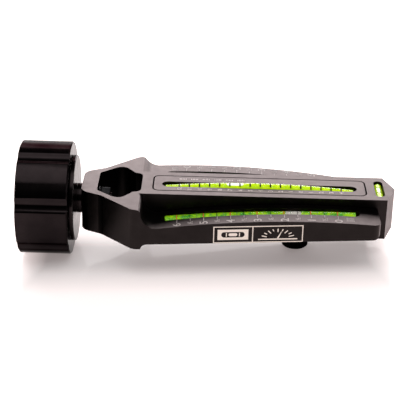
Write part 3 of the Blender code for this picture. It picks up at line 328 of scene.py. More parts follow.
class Surface(Nodes):
    """A node material with one Principled shader and a few procedural helpers."""

    def __init__(self, name, colour, roughness, metallic=0.0):
        self.material = bpy.data.materials.new(name)
        self.material.use_nodes = True
        super().__init__(self.material.node_tree)
        self.shader = self.tree.nodes["Principled BSDF"]
        self.set("Base Color", (*colour, 1))
        self.set("Roughness", roughness)
        self.set("Metallic", metallic)
        self.material.diffuse_color = (*colour, 1)

    def set(self, socket, value):
        """Sets a number or colour of the shader."""
        self.shader.inputs[socket].default_value = value

    def drive(self, source, *sockets):
        """Links an output to inputs of the shader."""
        for socket in sockets:
            self.link(source, self.shader.inputs[socket])

    def coordinates(self, stretch=(1, 1, 1)):
        """Object coordinates, stretched along the axes."""
        source = self.node("ShaderNodeTexCoord")
        mapping = self.node("ShaderNodeMapping")
        mapping.inputs["Scale"].default_value = stretch
        self.link(source.outputs["Object"], mapping.inputs["Vector"])
        return mapping.outputs["Vector"]

    def noise(self, scale, detail=3.0, roughness=0.6, stretch=(1, 1, 1)):
        """Noise value over the surface."""
        made = self.node("ShaderNodeTexNoise")
        made.inputs["Scale"].default_value = scale
        made.inputs["Detail"].default_value = detail
        made.inputs["Roughness"].default_value = roughness
        self.link(self.coordinates(stretch), made.inputs["Vector"])
        return made.outputs["Fac"]

    def ramp(self, factor, low, high, start=NOISE_LOW, end=NOISE_HIGH):
        """Colour between two colours as the factor goes from start to end."""
        made = self.node("ShaderNodeValToRGB")
        made.color_ramp.elements[0].position = start
        made.color_ramp.elements[0].color = (*low, 1)
        made.color_ramp.elements[1].position = end
        made.color_ramp.elements[1].color = (*high, 1)
        self.link(factor, made.inputs["Fac"])
        return made.outputs["Color"]

    def spread(self, factor, low, high):
        """Number between low and high as the factor goes over a noise's range."""
        made = self.node("ShaderNodeMapRange")
        made.inputs["From Min"].default_value = NOISE_LOW
        made.inputs["From Max"].default_value = NOISE_HIGH
        made.inputs["To Min"].default_value = low
        made.inputs["To Max"].default_value = high
        self.link(factor, made.inputs["Value"])
        return made.outputs["Result"]

    def bump(self, height, strength, depth):
        """Bump from a height value."""
        made = self.node("ShaderNodeBump")
        made.inputs["Strength"].default_value = strength
        made.inputs["Distance"].default_value = depth
        self.link(height, made.inputs["Height"])
        self.drive(made.outputs["Normal"], "Normal")


# How much of the studio the turned faces, and the knob and the deeper walls, mirror at a grazing view; the
# tiny share for the knob and the deeper walls is painted shade
TURNED_RIM = (0.44, 0.438, 0.438, 1)
PAINTED_SHADE_RIM = (0.04, 0.04, 0.04, 1)

# Scales of the noise that colours anodised faces, varies their gloss and brushes metal, and grain depths
BLOTCH_SCALE = 60
GLOSS_SCALE = 220
BRUSHING_SCALE = 900
ANODISED_GRAIN = 0.00003
FINE_GRAIN = 0.00002


def anodised(name, low, high, roughness, grain_scale, grain_stretch=(1, 1, 1), grain_strength=0.25):
    """Black anodised aluminium with a fine grain, soft blotches and uneven gloss."""
    surface = Surface(name, high, roughness[0], 1.0)
    blotches = surface.noise(BLOTCH_SCALE, 4)
    surface.drive(surface.ramp(blotches, low, high), "Base Color")
    surface.drive(surface.spread(surface.noise(GLOSS_SCALE, 3), *roughness), "Roughness")
    surface.bump(surface.noise(grain_scale, 2, 0.5, grain_stretch), grain_strength, ANODISED_GRAIN)
    return surface


def metal(name, low, high, rough_low, rough_high, stretch=(1, 1, 1)):
    """Metal with fine brushing, drawn out along an axis where the stretch says so."""
    surface = Surface(name, high, rough_low, 1.0)
    brushing = surface.noise(BRUSHING_SCALE, 3, 0.6, stretch)
    surface.drive(surface.ramp(brushing, low, high), "Base Color")
    surface.drive(surface.spread(brushing, rough_low, rough_high), "Roughness")
    surface.bump(brushing, 0.1, FINE_GRAIN)
    return surface.material


def make_milled():
    """Bead-blasted faces of the body and the carrier."""
    surface = anodised(
        "anodised_milled", (0.0158, 0.0130, 0.0126), (0.0222, 0.0184, 0.0178), (0.33, 0.40), 5200
    )
    surface.set("Specular Tint", (1.0, 0.94, 0.94, 1))
    return surface.material


def make_window_wall():
    """Walls of the head's window and of the carrier's groove, blacker than the open faces as painted shade
    in these recesses.
    """
    surface = anodised(
        "anodised_window_painted_shade", (0.006, 0.005, 0.005), (0.010, 0.0085, 0.0085), (0.36, 0.44), 4200
    )
    surface.set("Specular Tint", PAINTED_SHADE_RIM)
    return surface.material


def make_edge():
    """Edges of anodised pieces, polished and slightly worn by handling, and lighter than the faces as a
    painted highlight.
    """
    return anodised(
        "anodised_edge_wear_and_highlight", (0.02, 0.017, 0.017), (0.045, 0.039, 0.039), (0.24, 0.34), 3000
    ).material


def make_turned():
    """Lathe-turned anodised faces, with fine lines round the adaptor's axis."""
    surface = anodised(
        "anodised_turned", (0.011, 0.0085, 0.009), (0.018, 0.014, 0.0145), (0.12, 0.20), 700,
        (7, 0.4, 0.4), 0.12,
    )
    surface.set("Specular Tint", TURNED_RIM)
    return surface.material


def make_knob_black():
    """Black of the adjusting knob, deepened and dulled beyond the other anodised parts as painted shade for
    its place under the body.
    """
    surface = anodised(
        "anodised_knob_painted_shade", (0.001, 0.001, 0.001), (0.0025, 0.0022, 0.0022), (0.30, 0.42), 2400
    )
    surface.set("Specular Tint", PAINTED_SHADE_RIM)
    return surface.material


def make_engraving(name, low, high, metallic):
    """Bare silver of an engraved mark, faintly warm and uneven."""
    surface = Surface(name, high, 0.5, metallic)
    fleck = surface.noise(2600, 3)
    surface.drive(surface.ramp(fleck, low, high), "Base Color")
    surface.drive(surface.spread(fleck, 0.4, 0.6), "Roughness")
    surface.bump(fleck, 0.2, FINE_GRAIN)
    return surface.material


def make_acrylic():
    """Clear tube of a vial, with faint drawing lines along it."""
    surface = Surface("clear_acrylic", (0.97, 1.0, 0.95), 0.04)
    surface.set("Transmission Weight", 1.0)
    surface.set("IOR", 1.40)
    surface.set("Specular Tint", (0.2, 0.2, 0.2, 1))
    lines = surface.noise(500, 2, 0.5, (0.1, 4, 4))
    surface.drive(surface.spread(lines, 0.02, 0.07), "Roughness")
    surface.bump(lines, 0.02, FINE_GRAIN)
    return surface.material


def make_liquid(name, low, high, glow):
    """Fluorescent dyed liquid whose glow is painted light, keeping it bright inside the clear tube."""
    surface = Surface(name, high, 0.25)
    surface.set("Specular IOR Level", 0.1)
    clouds = surface.ramp(surface.noise(330, 4, 0.6), low, high, 0.38, 0.62)
    surface.drive(clouds, "Base Color", "Emission Color")
    surface.set("Emission Strength", glow)
    surface.drive(surface.spread(surface.noise(300), 0.2, 0.3), "Roughness")
    return surface.material


def make_bubble(name, low, high, glow):
    """Skin of an air bubble, with a painted glow for the light it catches."""
    surface = Surface(name, high, 0.12)
    film = surface.ramp(surface.noise(500, 2), low, high)
    surface.drive(film, "Base Color", "Emission Color")
    surface.set("Emission Strength", glow)
    return surface.material


def make_ink(name, low, high):
    """Printed ink with a slightly uneven edge tone."""
    surface = Surface(name, high, 0.45)
    surface.set("Specular IOR Level", 0.08)
    surface.drive(surface.ramp(surface.noise(3000, 2), low, high), "Base Color")
    surface.drive(surface.spread(surface.noise(1500), 0.35, 0.55), "Roughness")
    return surface.material


MILLED = make_milled()
# Painted shade: a blacker, duller copy of the anodised finish for the walls of the window and the groove
PAINTED_SHADE_WALL = make_window_wall()
# Worn edges, lighter than the faces as a painted highlight
EDGE_WEAR_AND_HIGHLIGHT = make_edge()
TURNED = make_turned()
# Painted shade: the knob's black is deepened for its place under the body
KNOB_BLACK_AND_SHADE = make_knob_black()
SCALE_MARK = make_engraving("scale_mark", (0.26, 0.22, 0.205), (0.42, 0.37, 0.345), 0.0)
# Painted shade: a darker copy of the scale-mark finish for the far wing's marks
SHADED_FAR_MARK = make_engraving("far_scale_mark_painted_shade", (0.16, 0.135, 0.125), (0.28, 0.245, 0.23), 0.0)
FACE_MARK = make_engraving("face_mark", (0.80, 0.71, 0.63), (0.98, 0.90, 0.82), 0.85)
ACRYLIC = make_acrylic()
# Both liquids glow as painted light
GREEN = make_liquid("green_liquid_dye", (0.06, 0.36, 0.03), (0.40, 0.70, 0.0), 0.13)
YELLOW = make_liquid("yellow_liquid_dye", (0.46, 0.74, 0.0), (0.64, 0.84, 0.0), 0.20)
# Both bubble skins glow as painted light; the dim one is a darker copy for the camber vials and the level
BUBBLE = make_bubble("bubble_skin", (0.86, 0.9, 0.8), (0.97, 0.97, 0.96), 0.45)
DIM_BUBBLE = make_bubble("dim_bubble_skin", (0.42, 0.38, 0.35), (0.62, 0.57, 0.55), 0.22)
BLACK_INK = make_ink("black_ink", (0.004, 0.005, 0.004), (0.012, 0.016, 0.010))
RED_INK = make_ink("red_ink", (0.75, 0.09, 0.02), (0.9, 0.16, 0.04))
FAINT_INK = make_ink("faint_ink", (0.10, 0.20, 0.10), (0.16, 0.26, 0.14))
BLACK_STEEL = metal("blackened_steel", (0.012, 0.012, 0.013), (0.03, 0.03, 0.031), 0.35, 0.5)
BRIGHT_STEEL = metal("bright_steel", (0.48, 0.48, 0.49), (0.62, 0.62, 0.63), 0.22, 0.38, (1, 6, 6))
SPRING_STEEL = metal("spring_steel", (0.30, 0.30, 0.32), (0.45, 0.45, 0.47), 0.3, 0.42)
OILED_BRONZE = metal("oiled_bronze", (0.045, 0.030, 0.018), (0.08, 0.055, 0.03), 0.34, 0.46, (1, 4, 4))
BRASS = metal("turned_brass", (0.62, 0.43, 0.17), (0.75, 0.55, 0.25), 0.22, 0.36, (6, 1, 1))
NICKEL = metal("nickel_plate", (0.55, 0.54, 0.51), (0.66, 0.65, 0.62), 0.16, 0.28, (1, 2, 2))


# Pieces made from the model's own solids


def show(name, mesh):
    """New object of a mesh, placed in the scene."""
    piece = bpy.data.objects.new(name, mesh)
    bpy.context.scene.collection.objects.link(piece)
    return piece


def finish_piece(piece, body, nodes=(), material=None):
    """Hangs a new piece on its body, gives it its material and hides the solids it stands in for."""
    if material:
        piece.data.materials.append(material)
    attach(piece, body)
    if nodes:
        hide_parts(*nodes)
    return piece


def dress(node, body, material, bevel=EDGE_BREAK, segments=2, edge=EDGE_WEAR_AND_HIGHLIGHT):
    """Copies a solid, joins its flat facets and rounds its sharp edges into an edge band, by default worn
    and lighter as a painted highlight.
    """
    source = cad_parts[node]
    mesh = source.data.copy()
    mesh.materials.clear()
    shape = bmesh.new()
    shape.from_mesh(mesh)
    bmesh.ops.remove_doubles(shape, verts=shape.verts, dist=SOLID_WELD)
    bmesh.ops.dissolve_limit(shape, angle_limit=FLAT_ANGLE, verts=shape.verts, edges=shape.edges)
    shape.to_mesh(mesh)
    shape.free()
    for attribute in ("custom_normal", "sharp_edge", "sharp_face"):
        if attribute in mesh.attributes:
            mesh.attributes.remove(mesh.attributes[attribute])
    piece = show(node + "_dressed", mesh)
    piece.matrix_world = source.matrix_world
    mesh.materials.append(material)
    mesh.materials.append(edge)
    for polygon in mesh.polygons:
        polygon.material_index = 0
    mesh.shade_smooth()
    mesh.set_sharp_from_angle(angle=SMOOTH_ANGLE)
    rounding = piece.modifiers.new("edge_break", "BEVEL")
    rounding.width = bevel
    rounding.segments = segments
    rounding.limit_method = "ANGLE"
    rounding.angle_limit = BROKEN_EDGE_ANGLE
    rounding.material = 1
    rounding.harden_normals = False
    weighted = piece.modifiers.new("weighted", "WEIGHTED_NORMAL")
    weighted.keep_sharp = True
    weighted.weight = NORMAL_WEIGHT
    return finish_piece(piece, body, (node,))


def shade_walls(piece, low, high):
    """Gives a piece's upright walls between two corners a deeper black, painted shade for a recess."""
    piece.data.materials.append(PAINTED_SHADE_WALL)
    wall = len(piece.data.materials) - 1
    low = piece.matrix_world.inverted() @ Vector(low)
    high = piece.matrix_world.inverted() @ Vector(high)
    for polygon in piece.data.polygons:
        x, y, _ = polygon.center
        if low.x < x < high.x and low.y < y < high.y and abs(polygon.normal.z) < UPRIGHT_SHARE:
            polygon.material_index = wall


def dress_body_and_carrier():
    """Dresses the two milled pieces, with deeper black in the window and in the groove between them as
    painted shade.
    """
    window_low = place(WINDOW_LOW_X, -WINDOW_HALF_WIDTH, -BODY_HEIGHT)
    window_high = place(WINDOW_HIGH_X, WINDOW_HALF_WIDTH, BODY_HEIGHT)
    reach = Vector((GROOVE_REACH, GROOVE_REACH, GROOVE_REACH))
    carrier_low, carrier_high = (Vector(corner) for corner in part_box("castor_carrier"))
    body = dress("gauge_body", "gauge", MILLED)
    shade_walls(body, window_low, window_high)
    shade_walls(body, carrier_low - reach, carrier_high + reach)
    carrier = dress("castor_carrier", "carrier", MILLED, EDGE_BREAK / 2)
    shade_walls(carrier, carrier_low - reach, carrier_high + reach)


def span_spring():
    """Copy of the carrier's spring, with its placing baked into its mesh."""
    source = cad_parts["carrier_spring"]
    spring = show("carrier_spring_dressed", source.data.copy())
    spring.matrix_world = source.matrix_world
    spring.data.materials.clear()
    spring.data.materials.append(SPRING_STEEL)
    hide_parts("carrier_spring")
    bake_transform(spring)


def repaint(material, *nodes):
    """Gives kept solids a finished material."""
    for node in nodes:
        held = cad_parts[node].data
        held.materials.clear()
        held.materials.append(material)


# Flat marks


def curve_mesh(holder):
    """Welded mesh of a curve or text object, which is then removed."""
    bpy.context.view_layer.update()
    graph = bpy.context.evaluated_depsgraph_get()
    mesh = bpy.data.meshes.new_from_object(holder.evaluated_get(graph))
    bpy.data.objects.remove(holder, do_unlink=True)
    shape = bmesh.new()
    shape.from_mesh(mesh)
    bmesh.ops.remove_doubles(shape, verts=shape.verts, dist=MARK_WELD)
    shape.to_mesh(mesh)
    shape.free()
    return mesh


def flat_mesh(loops):
    """Thin solid of closed outlines, where an outline inside another is a hole."""
    curve = bpy.data.curves.new("flat", "CURVE")
    curve.dimensions = "2D"
    curve.fill_mode = "BOTH"
    curve.extrude = INK_HEIGHT / 2
    for loop in loops:
        spline = curve.splines.new("POLY")
        spline.points.add(len(loop) - 1)
        for spot, (x, y) in zip(spline.points, loop):
            spot.co = (x, y, 0, 1)
        spline.use_cyclic_u = True
    return curve_mesh(show("flat", curve))


def text_mesh(text, width, height):
    """Thin solid of a number, centred and brought to a width and height."""
    curve = bpy.data.curves.new("number", "FONT")
    curve.body = text
    curve.extrude = INK_HEIGHT / 2
    curve.resolution_u = DIGIT_CURVE_STEPS
    curve.offset = DIGIT_BOLDNESS
    mesh = curve_mesh(show("number", curve))
    xs = [vertex.co.x for vertex in mesh.vertices]
    ys = [vertex.co.y for vertex in mesh.vertices]
    wide = max(xs) - min(xs)
    tall = max(ys) - min(ys)
    across = min(width / wide, height / tall * DIGIT_MOST_STRETCH)
    centre = Vector(((max(xs) + min(xs)) / 2, (max(ys) + min(ys)) / 2, 0))
    mesh.transform(Matrix.Diagonal((across, height / tall, 1, 1)) @ Matrix.Translation(-centre))
    return mesh


def bar(x, y, width, length):
    """Rectangle outline about a centre."""
    return [
        (x - width / 2, y - length / 2),
        (x + width / 2, y - length / 2),
        (x + width / 2, y + length / 2),
        (x - width / 2, y + length / 2),
    ]


class Marks:
    """Gathers flat marks in one mesh, each laid on a surface by a placing function."""

    def __init__(self, name, surface):
        self.name = name
        self.surface = surface
        self.shape = bmesh.new()

    def lay(self, mesh, x=0, y=0, turn=0):
        """Adds a flat mesh, turned in its plane and moved."""
        first = len(self.shape.verts)
        self.shape.from_mesh(mesh)
        self.shape.verts.ensure_lookup_table()
        spin = Matrix.Rotation(turn, 3, "Z")
        for vertex in self.shape.verts[first:]:
            spot = spin @ vertex.co
            vertex.co = self.surface(spot.x + x, spot.y + y, spot.z)
        bpy.data.meshes.remove(mesh)

    def make(self, body, material):
        """Turns the gathered marks into one piece."""
        bmesh.ops.recalc_face_normals(self.shape, faces=self.shape.faces)
        mesh = bpy.data.meshes.new(self.name)
        self.shape.to_mesh(mesh)
        self.shape.free()
        finish_piece(show(self.name, mesh), body, material=material)


def ledge_z(x, apex_x):
    """Height of a wing's curved top."""
    return LEDGE_TOP_Z - LEDGE_RADIUS + math.sqrt(LEDGE_RADIUS**2 - (x - apex_x) ** 2)


def on_ledge(apex_x):
    """Placing function for a wing's curved top."""
    return lambda x, y, z: place(x, y, ledge_z(x, apex_x) + z)


def on_carrier(x, y, z):
    """Placing function for the carrier's flat top."""
    return place(x, y, BODY_HEIGHT + z)


def on_panel(x, y, z):
    """Placing function for the near wing's face, y upwards and leaning with the wing."""
    return place(x, -WING_FACE_Y - z, y + (x - PANEL_LEFT_X) * PANEL_SLOPE)


def zero_place(side):
    """Place of zero degrees along a wing; side is -1 for the near wing and +1 for the far one."""
    return ZERO_X if side < 0 else 2 * SCALE_MIDDLE_X - ZERO_X


def camber_scale(label, side):
    """Degree ticks and numbers beside one camber vial, and a block of bars beyond its zero."""
    apex_x = SCALE_MIDDLE_X - side * LEDGE_APEX_OFFSET
    marks = Marks(label + "_scale_marks", on_ledge(apex_x))
    edge_y = CAMBER_Y + CAMBER_SLOT_HALF_WIDTH + SCALE_EDGE_GAP
    zero_x = zero_place(side)
    for half_degree in range(DEGREES * 2 + 1):
        x = zero_x + side * half_degree * DEGREE_PITCH / 2
        whole = half_degree % 2 == 0
        length = TICK_LENGTH if whole else HALF_TICK_LENGTH
        marks.lay(flat_mesh([bar(x, side * (edge_y + length / 2), TICK_WIDTH, length)]))
        if whole:
            number = text_mesh(str(half_degree // 2), DIGIT_WIDTH, DIGIT_HEIGHT)
            marks.lay(number, x, side * DIGIT_Y, QUARTER_TURN)
        else:
            half = text_mesh("½", HALF_MARK_WIDTH, HALF_MARK_HEIGHT)
            marks.lay(half, x, side * HALF_MARK_Y, QUARTER_TURN)
    block_x = zero_x - side * BLOCK_PITCH
    for bar_number in range(BLOCK_BARS):
        y = side * (edge_y + TICK_LENGTH / 2 + bar_number * BLOCK_BAR_PITCH * CAMBER_BAR_SPREAD)
        marks.lay(flat_mesh([bar(block_x, y, BLOCK_BAR_PITCH * BLOCK_BARS, BLOCK_BAR_WIDTH)]))
    marks.make("gauge", SCALE_MARK if side < 0 else SHADED_FAR_MARK)


def castor_scale():
    """Numbers on the near side of the castor vial and rows of short strokes on its far side."""
    marks = Marks("castor_scale_marks", on_carrier)
    for number in range(CASTOR_TICKS):
        x = CASTOR_FIRST_X + number * CASTOR_PITCH
        value = text_mesh(str(abs(CASTOR_FIRST_VALUE - number)), CASTOR_DIGIT_WIDTH, CASTOR_DIGIT_HEIGHT)
        marks.lay(value, x, CASTOR_DIGIT_Y, QUARTER_TURN)
    for block in range(BLOCK_COUNT):
        for stroke in range(BLOCK_BARS):
            x = CASTOR_FIRST_X + block * BLOCK_PITCH + stroke * BLOCK_BAR_PITCH
            marks.lay(flat_mesh([bar(x, BLOCK_Y, BLOCK_BAR_WIDTH, BLOCK_BAR_LENGTH)]))
    marks.make("carrier", SCALE_MARK)


def arc_points(centre_x, centre_y, radius, start, end):
    """Points of an arc."""
    angles = [start + (end - start) * step / CAPSULE_STEPS for step in range(CAPSULE_STEPS + 1)]
    return [(centre_x + radius * math.cos(angle), centre_y + radius * math.sin(angle)) for angle in angles]


def capsule(x, y, half_length, radius):
    """Outline of a bar with round ends."""
    right = arc_points(x + half_length - radius, y, radius, -QUARTER_TURN, QUARTER_TURN)
    left = arc_points(x - half_length + radius, y, radius, QUARTER_TURN, QUARTER_TURN * 3)
    return right + left


def make_panel():
    """Engraved frame on the near wing with a plain vial sign and a plain angle sign."""
    # The two fields share the divider, so each takes half of its line
    marks = Marks("wing_panel_marks", on_panel)
    middle_y = PANEL_LOW_Z + PANEL_HEIGHT / 2
    width = PANEL_RIGHT_X - PANEL_LEFT_X
    outer = bar(PANEL_LEFT_X + width / 2, middle_y, width, PANEL_HEIGHT)
    left_width = PANEL_DIVIDER_X - PANEL_LEFT_X
    right_width = PANEL_RIGHT_X - PANEL_DIVIDER_X
    hole_height = PANEL_HEIGHT - PANEL_LINE * 2
    left_x = PANEL_LEFT_X + left_width / 2 + PANEL_LINE / 4
    right_x = PANEL_DIVIDER_X + right_width / 2 - PANEL_LINE / 4
    left_hole = bar(left_x, middle_y, left_width - PANEL_LINE * 1.5, hole_height)
    right_hole = bar(right_x, middle_y, right_width - PANEL_LINE * 1.5, hole_height)
    marks.lay(flat_mesh([outer, left_hole, right_hole]))
    make_vial_sign(marks, PANEL_LEFT_X + left_width / 2, middle_y, left_width, PANEL_HEIGHT)
    make_angle_sign(marks, PANEL_DIVIDER_X + right_width / 2, middle_y, right_width, PANEL_HEIGHT)
    marks.make("gauge", FACE_MARK)


def make_vial_sign(marks, x, y, width, height):
    """Solid block with the outline of a vial, its bubble and two lines left dark."""
    block_width = width * SIGN_WIDTH
    block_height = height * SIGN_HEIGHT
    vial_half = block_width * SIGN_VIAL_HALF_LENGTH
    vial_radius = block_height * SIGN_VIAL_RADIUS
    marks.lay(flat_mesh([
        bar(x, y, block_width, block_height),
        capsule(x, y, vial_half, vial_radius),
    ]))
    bubble_half = vial_radius * SIGN_BUBBLE_HALF_LENGTH
    marks.lay(flat_mesh([capsule(x, y, bubble_half, vial_radius * SIGN_BUBBLE_RADIUS)]))
    for side in (-1, 1):
        line_x = x + side * vial_radius * SIGN_LINE_OFFSET
        marks.lay(flat_mesh([bar(line_x, y, PANEL_LINE, vial_radius * SIGN_LINE_LENGTH)]))


def make_angle_sign(marks, x, y, width, height):
    """Fan of degree strokes over a base line, with a leaning needle."""
    centre_y = y - height * BASE_DROP
    radius = height * SIGN_HEIGHT
    inner = radius * FAN_INNER_SHARE
    for stroke in range(FAN_STROKES):
        angle = math.radians(FAN_START + FAN_SWEEP * stroke / (FAN_STROKES - 1))
        start = inner if stroke % 2 else inner * FAN_LONG_STROKE
        direction = Vector((math.cos(angle) * FAN_STRETCH, math.sin(angle)))
        side = Vector((-math.sin(angle), math.cos(angle))) * PANEL_LINE / 2
        low = Vector((x, centre_y)) + direction * start
        high = Vector((x, centre_y)) + direction * radius
        corners = (low - side, high - side, high + side, low + side)
        marks.lay(flat_mesh([[tuple(corner) for corner in corners]]))
    marks.lay(flat_mesh([bar(x, centre_y, width * SIGN_WIDTH, PANEL_LINE * BASE_THICKNESS)]))
    lean = Vector(NEEDLE_LEAN).normalized()
    across = Vector((-lean.y, lean.x)) * PANEL_LINE * NEEDLE_HALF_WIDTH
    foot = Vector((x, centre_y + PANEL_LINE))
    tip = foot + lean * height * NEEDLE_LENGTH
    tip_across = across / NEEDLE_TAPER
    corners = (foot - across, tip - tip_across, tip + tip_across, foot + across)
    marks.lay(flat_mesh([[tuple(corner) for corner in corners]]))


# Vials


def bend_z(x, apex_x, top_z, radius, bend):
    """Height of a bent tube's centre line."""
    return top_z - radius - bend + math.sqrt(bend**2 - (x - apex_x) ** 2)


class Vial:
    """A bent or straight vial from low to high, and rings of points round it.

    frame_at gives the centre, the upward and the sideways direction at a place along the vial.
    """

    def __init__(self, frame_at, radius, bore, low, high):
        self.frame_at = frame_at
        self.radius = radius
        self.bore = bore
        self.low = low
        self.high = high

    def ring(self, shape, along, radius, shape_point=None):
        """Ring of vertices, optionally reshaped by a function of (height, side)."""
        centre, up, sideways = self.frame_at(along)
        ring = []
        for number in range(RING_SIDES):
            angle = math.tau * number / RING_SIDES
            height = radius * math.cos(angle)
            side = radius * math.sin(angle)
            if shape_point:
                height, side = shape_point(height, side)
            ring.append(shape.verts.new(centre + up * height + sideways * side))
        return ring

    def skin(self, shape, rings):
        """Joins rings into a skin."""
        for first, second in zip(rings, rings[1:]):
            count = len(first)
            for number in range(count):
                following = (number + 1) % count
                shape.faces.new((first[number], second[number], second[following], first[following]))

    def solid(self, name, places, radius, floor=None, keep_above=False):
        """Rod along the vial. With a floor, it keeps what lies below or above that height."""
        shape = bmesh.new()
        rings = []
        for along in places:
            limit = floor(along) if floor else None
            rings.append(self.ring(shape, along, radius, clamp(radius, limit, keep_above)))
        self.skin(shape, rings)
        shape.faces.new(rings[0])
        shape.faces.new(rings[-1])
        return shape_piece(name, shape)

    def tube(self, name, places):
        """Hollow tube with square, slightly rounded ends."""
        shape = bmesh.new()
        outer = [self.ring(shape, along, self.radius) for along in places]
        inner = [self.ring(shape, along, self.bore) for along in reversed(places)]
        self.skin(shape, outer + inner + [outer[0]])
        piece = shape_piece(name, shape)
        rounding = piece.modifiers.new("rim", "BEVEL")
        rounding.width = RIM_BREAK
        rounding.segments = 2
        rounding.limit_method = "ANGLE"
        rounding.angle_limit = RIM_ANGLE
        return piece

    def band(self, shape, along, half_width, span):
        """Thin closed band over the top of the tube, a printed line."""
        rows = []
        for radius in (self.radius + INK_HEIGHT / 4, self.radius + INK_HEIGHT):
            for offset in (-half_width, half_width):
                centre, up, sideways = self.frame_at(along + offset)
                row = []
                for step in range(BAND_STEPS + 1):
                    angle = span[0] + (span[1] - span[0]) * step / BAND_STEPS
                    row.append(shape.verts.new(
                        centre + up * radius * math.cos(angle) + sideways * radius * math.sin(angle)
                    ))
                rows.append(row)
        inner_left, inner_right, outer_left, outer_right = rows
        loops = [outer_left, outer_right, inner_right, inner_left, outer_left]
        for first, second in zip(loops, loops[1:]):
            for step in range(BAND_STEPS):
                shape.faces.new((first[step], second[step], second[step + 1], first[step + 1]))
        for end in (0, BAND_STEPS):
            shape.faces.new((outer_left[end], outer_right[end], inner_right[end], inner_left[end]))


def clamp(radius, limit, keep_above):
    """Function that presses a ring's points down to, or up to, a level."""
    if limit is None:
        return None
    limit = min(limit, radius)
    chord = math.sqrt(max(radius**2 - limit**2, 0))

    def press(height, side):
        outside = height < limit if keep_above else height > limit
        if outside:
            return limit, max(-chord, min(chord, side))
        return height, side

    return press


def shape_piece(name, shape):
    """Piece of a bmesh, its normals made consistent and its round faces smooth."""
    bmesh.ops.remove_doubles(shape, verts=shape.verts, dist=MARK_WELD)
    bmesh.ops.recalc_face_normals(shape, faces=shape.faces)
    mesh = bpy.data.meshes.new(name)
    shape.to_mesh(mesh)
    shape.free()
    piece = show(name, mesh)
    mesh.shade_smooth()
    mesh.set_sharp_from_angle(angle=VIAL_SMOOTH_ANGLE)
    return piece


def bent_line(apex_x, top_z, y, radius, bend):
    """Centre line of a vial bent in the plane of x and z."""
    def frame_at(x):
        slope = -math.asin((x - apex_x) / bend)
        centre = place(x, y, bend_z(x, apex_x, top_z, radius, bend))
        return centre, Vector((-math.sin(slope), 0, math.cos(slope))), Vector((0, -1, 0))
    return frame_at


def level_line(y):
    """Centre line of the straight cross level, along y."""
    return place(LEVEL_X, y, LEVEL_CENTRE_Z), Vector((0, 0, 1)), Vector((1, 0, 0))


def spaced(low, high, count):
    """Evenly spaced numbers from low to high."""
    return [low + (high - low) * number / count for number in range(count + 1)]


class Bubble:
    """An air bubble: the middle and the length of its hollow, the hollow's depth, and its skin."""

    def __init__(self, middle, length, depth, material):
        self.middle = middle
        self.half = length / 2
        self.depth = depth
        self.material = material


def fill_vial(vial, prefix, body, liquid_material, bubble):
    """Tube, liquid with a hollow for the bubble, the bubble, and the plugs seated in the tube's ends."""
    low, high = vial.low, vial.high
    tube = vial.tube(prefix + "_clear_tube", spaced(low, high, TUBE_STEPS))
    finish_piece(tube, body, (prefix + "_tube",), ACRYLIC)
    tube.data.materials.append(liquid_material)
    along = (vial.frame_at(high)[0] - vial.frame_at(low)[0]).normalized()
    for polygon in tube.data.polygons:
        if abs(polygon.normal.dot(along)) > END_FACE_SHARE:
            polygon.material_index = 1
    radius = vial.bore + WETTING

    def surface_height(place_along):
        """Height of the liquid over the vial's middle line, lower where the bubble lies."""
        reach = abs(place_along - bubble.middle) / bubble.half
        if reach >= 1:
            return radius
        return radius - bubble.depth * (1 - reach**BUBBLE_BLUNTNESS) ** 0.5

    first = low + VIAL_PLUG + PLUG_GAP
    last = high - VIAL_PLUG - PLUG_GAP
    start = max(bubble.middle - bubble.half, first)
    end = min(bubble.middle + bubble.half, last)
    hollow = spaced(start, end, BUBBLE_STEPS)
    places = spaced(first, start, LIQUID_STEPS)[:-1] + hollow + spaced(end, last, LIQUID_STEPS)[1:]
    liquid = vial.solid(prefix + "_dyed_liquid", places, radius, surface_height)
    finish_piece(liquid, body, (prefix + "_liquid",), liquid_material)
    air = vial.solid(prefix + "_bubble", hollow, radius, surface_height, True)
    finish_piece(air, body, material=bubble.material)
    ends = ((low + PLUG_GAP, low + VIAL_PLUG), (high - VIAL_PLUG, high - PLUG_GAP))
    for number, (start, end) in enumerate(ends, 1):
        seated = vial.solid(f"{prefix}_seated_plug_{number}", spaced(start, end, PLUG_STEPS), radius)
        finish_piece(seated, body, (f"{prefix}_plug_{number}",), liquid_material)


def print_lines(vial, name, body, places, half_width, span, material):
    """Printed lines over a vial at the given places."""
    shape = bmesh.new()
    for along in places:
        vial.band(shape, along, half_width, span)
    finish_piece(shape_piece(name, shape), body, material=material)


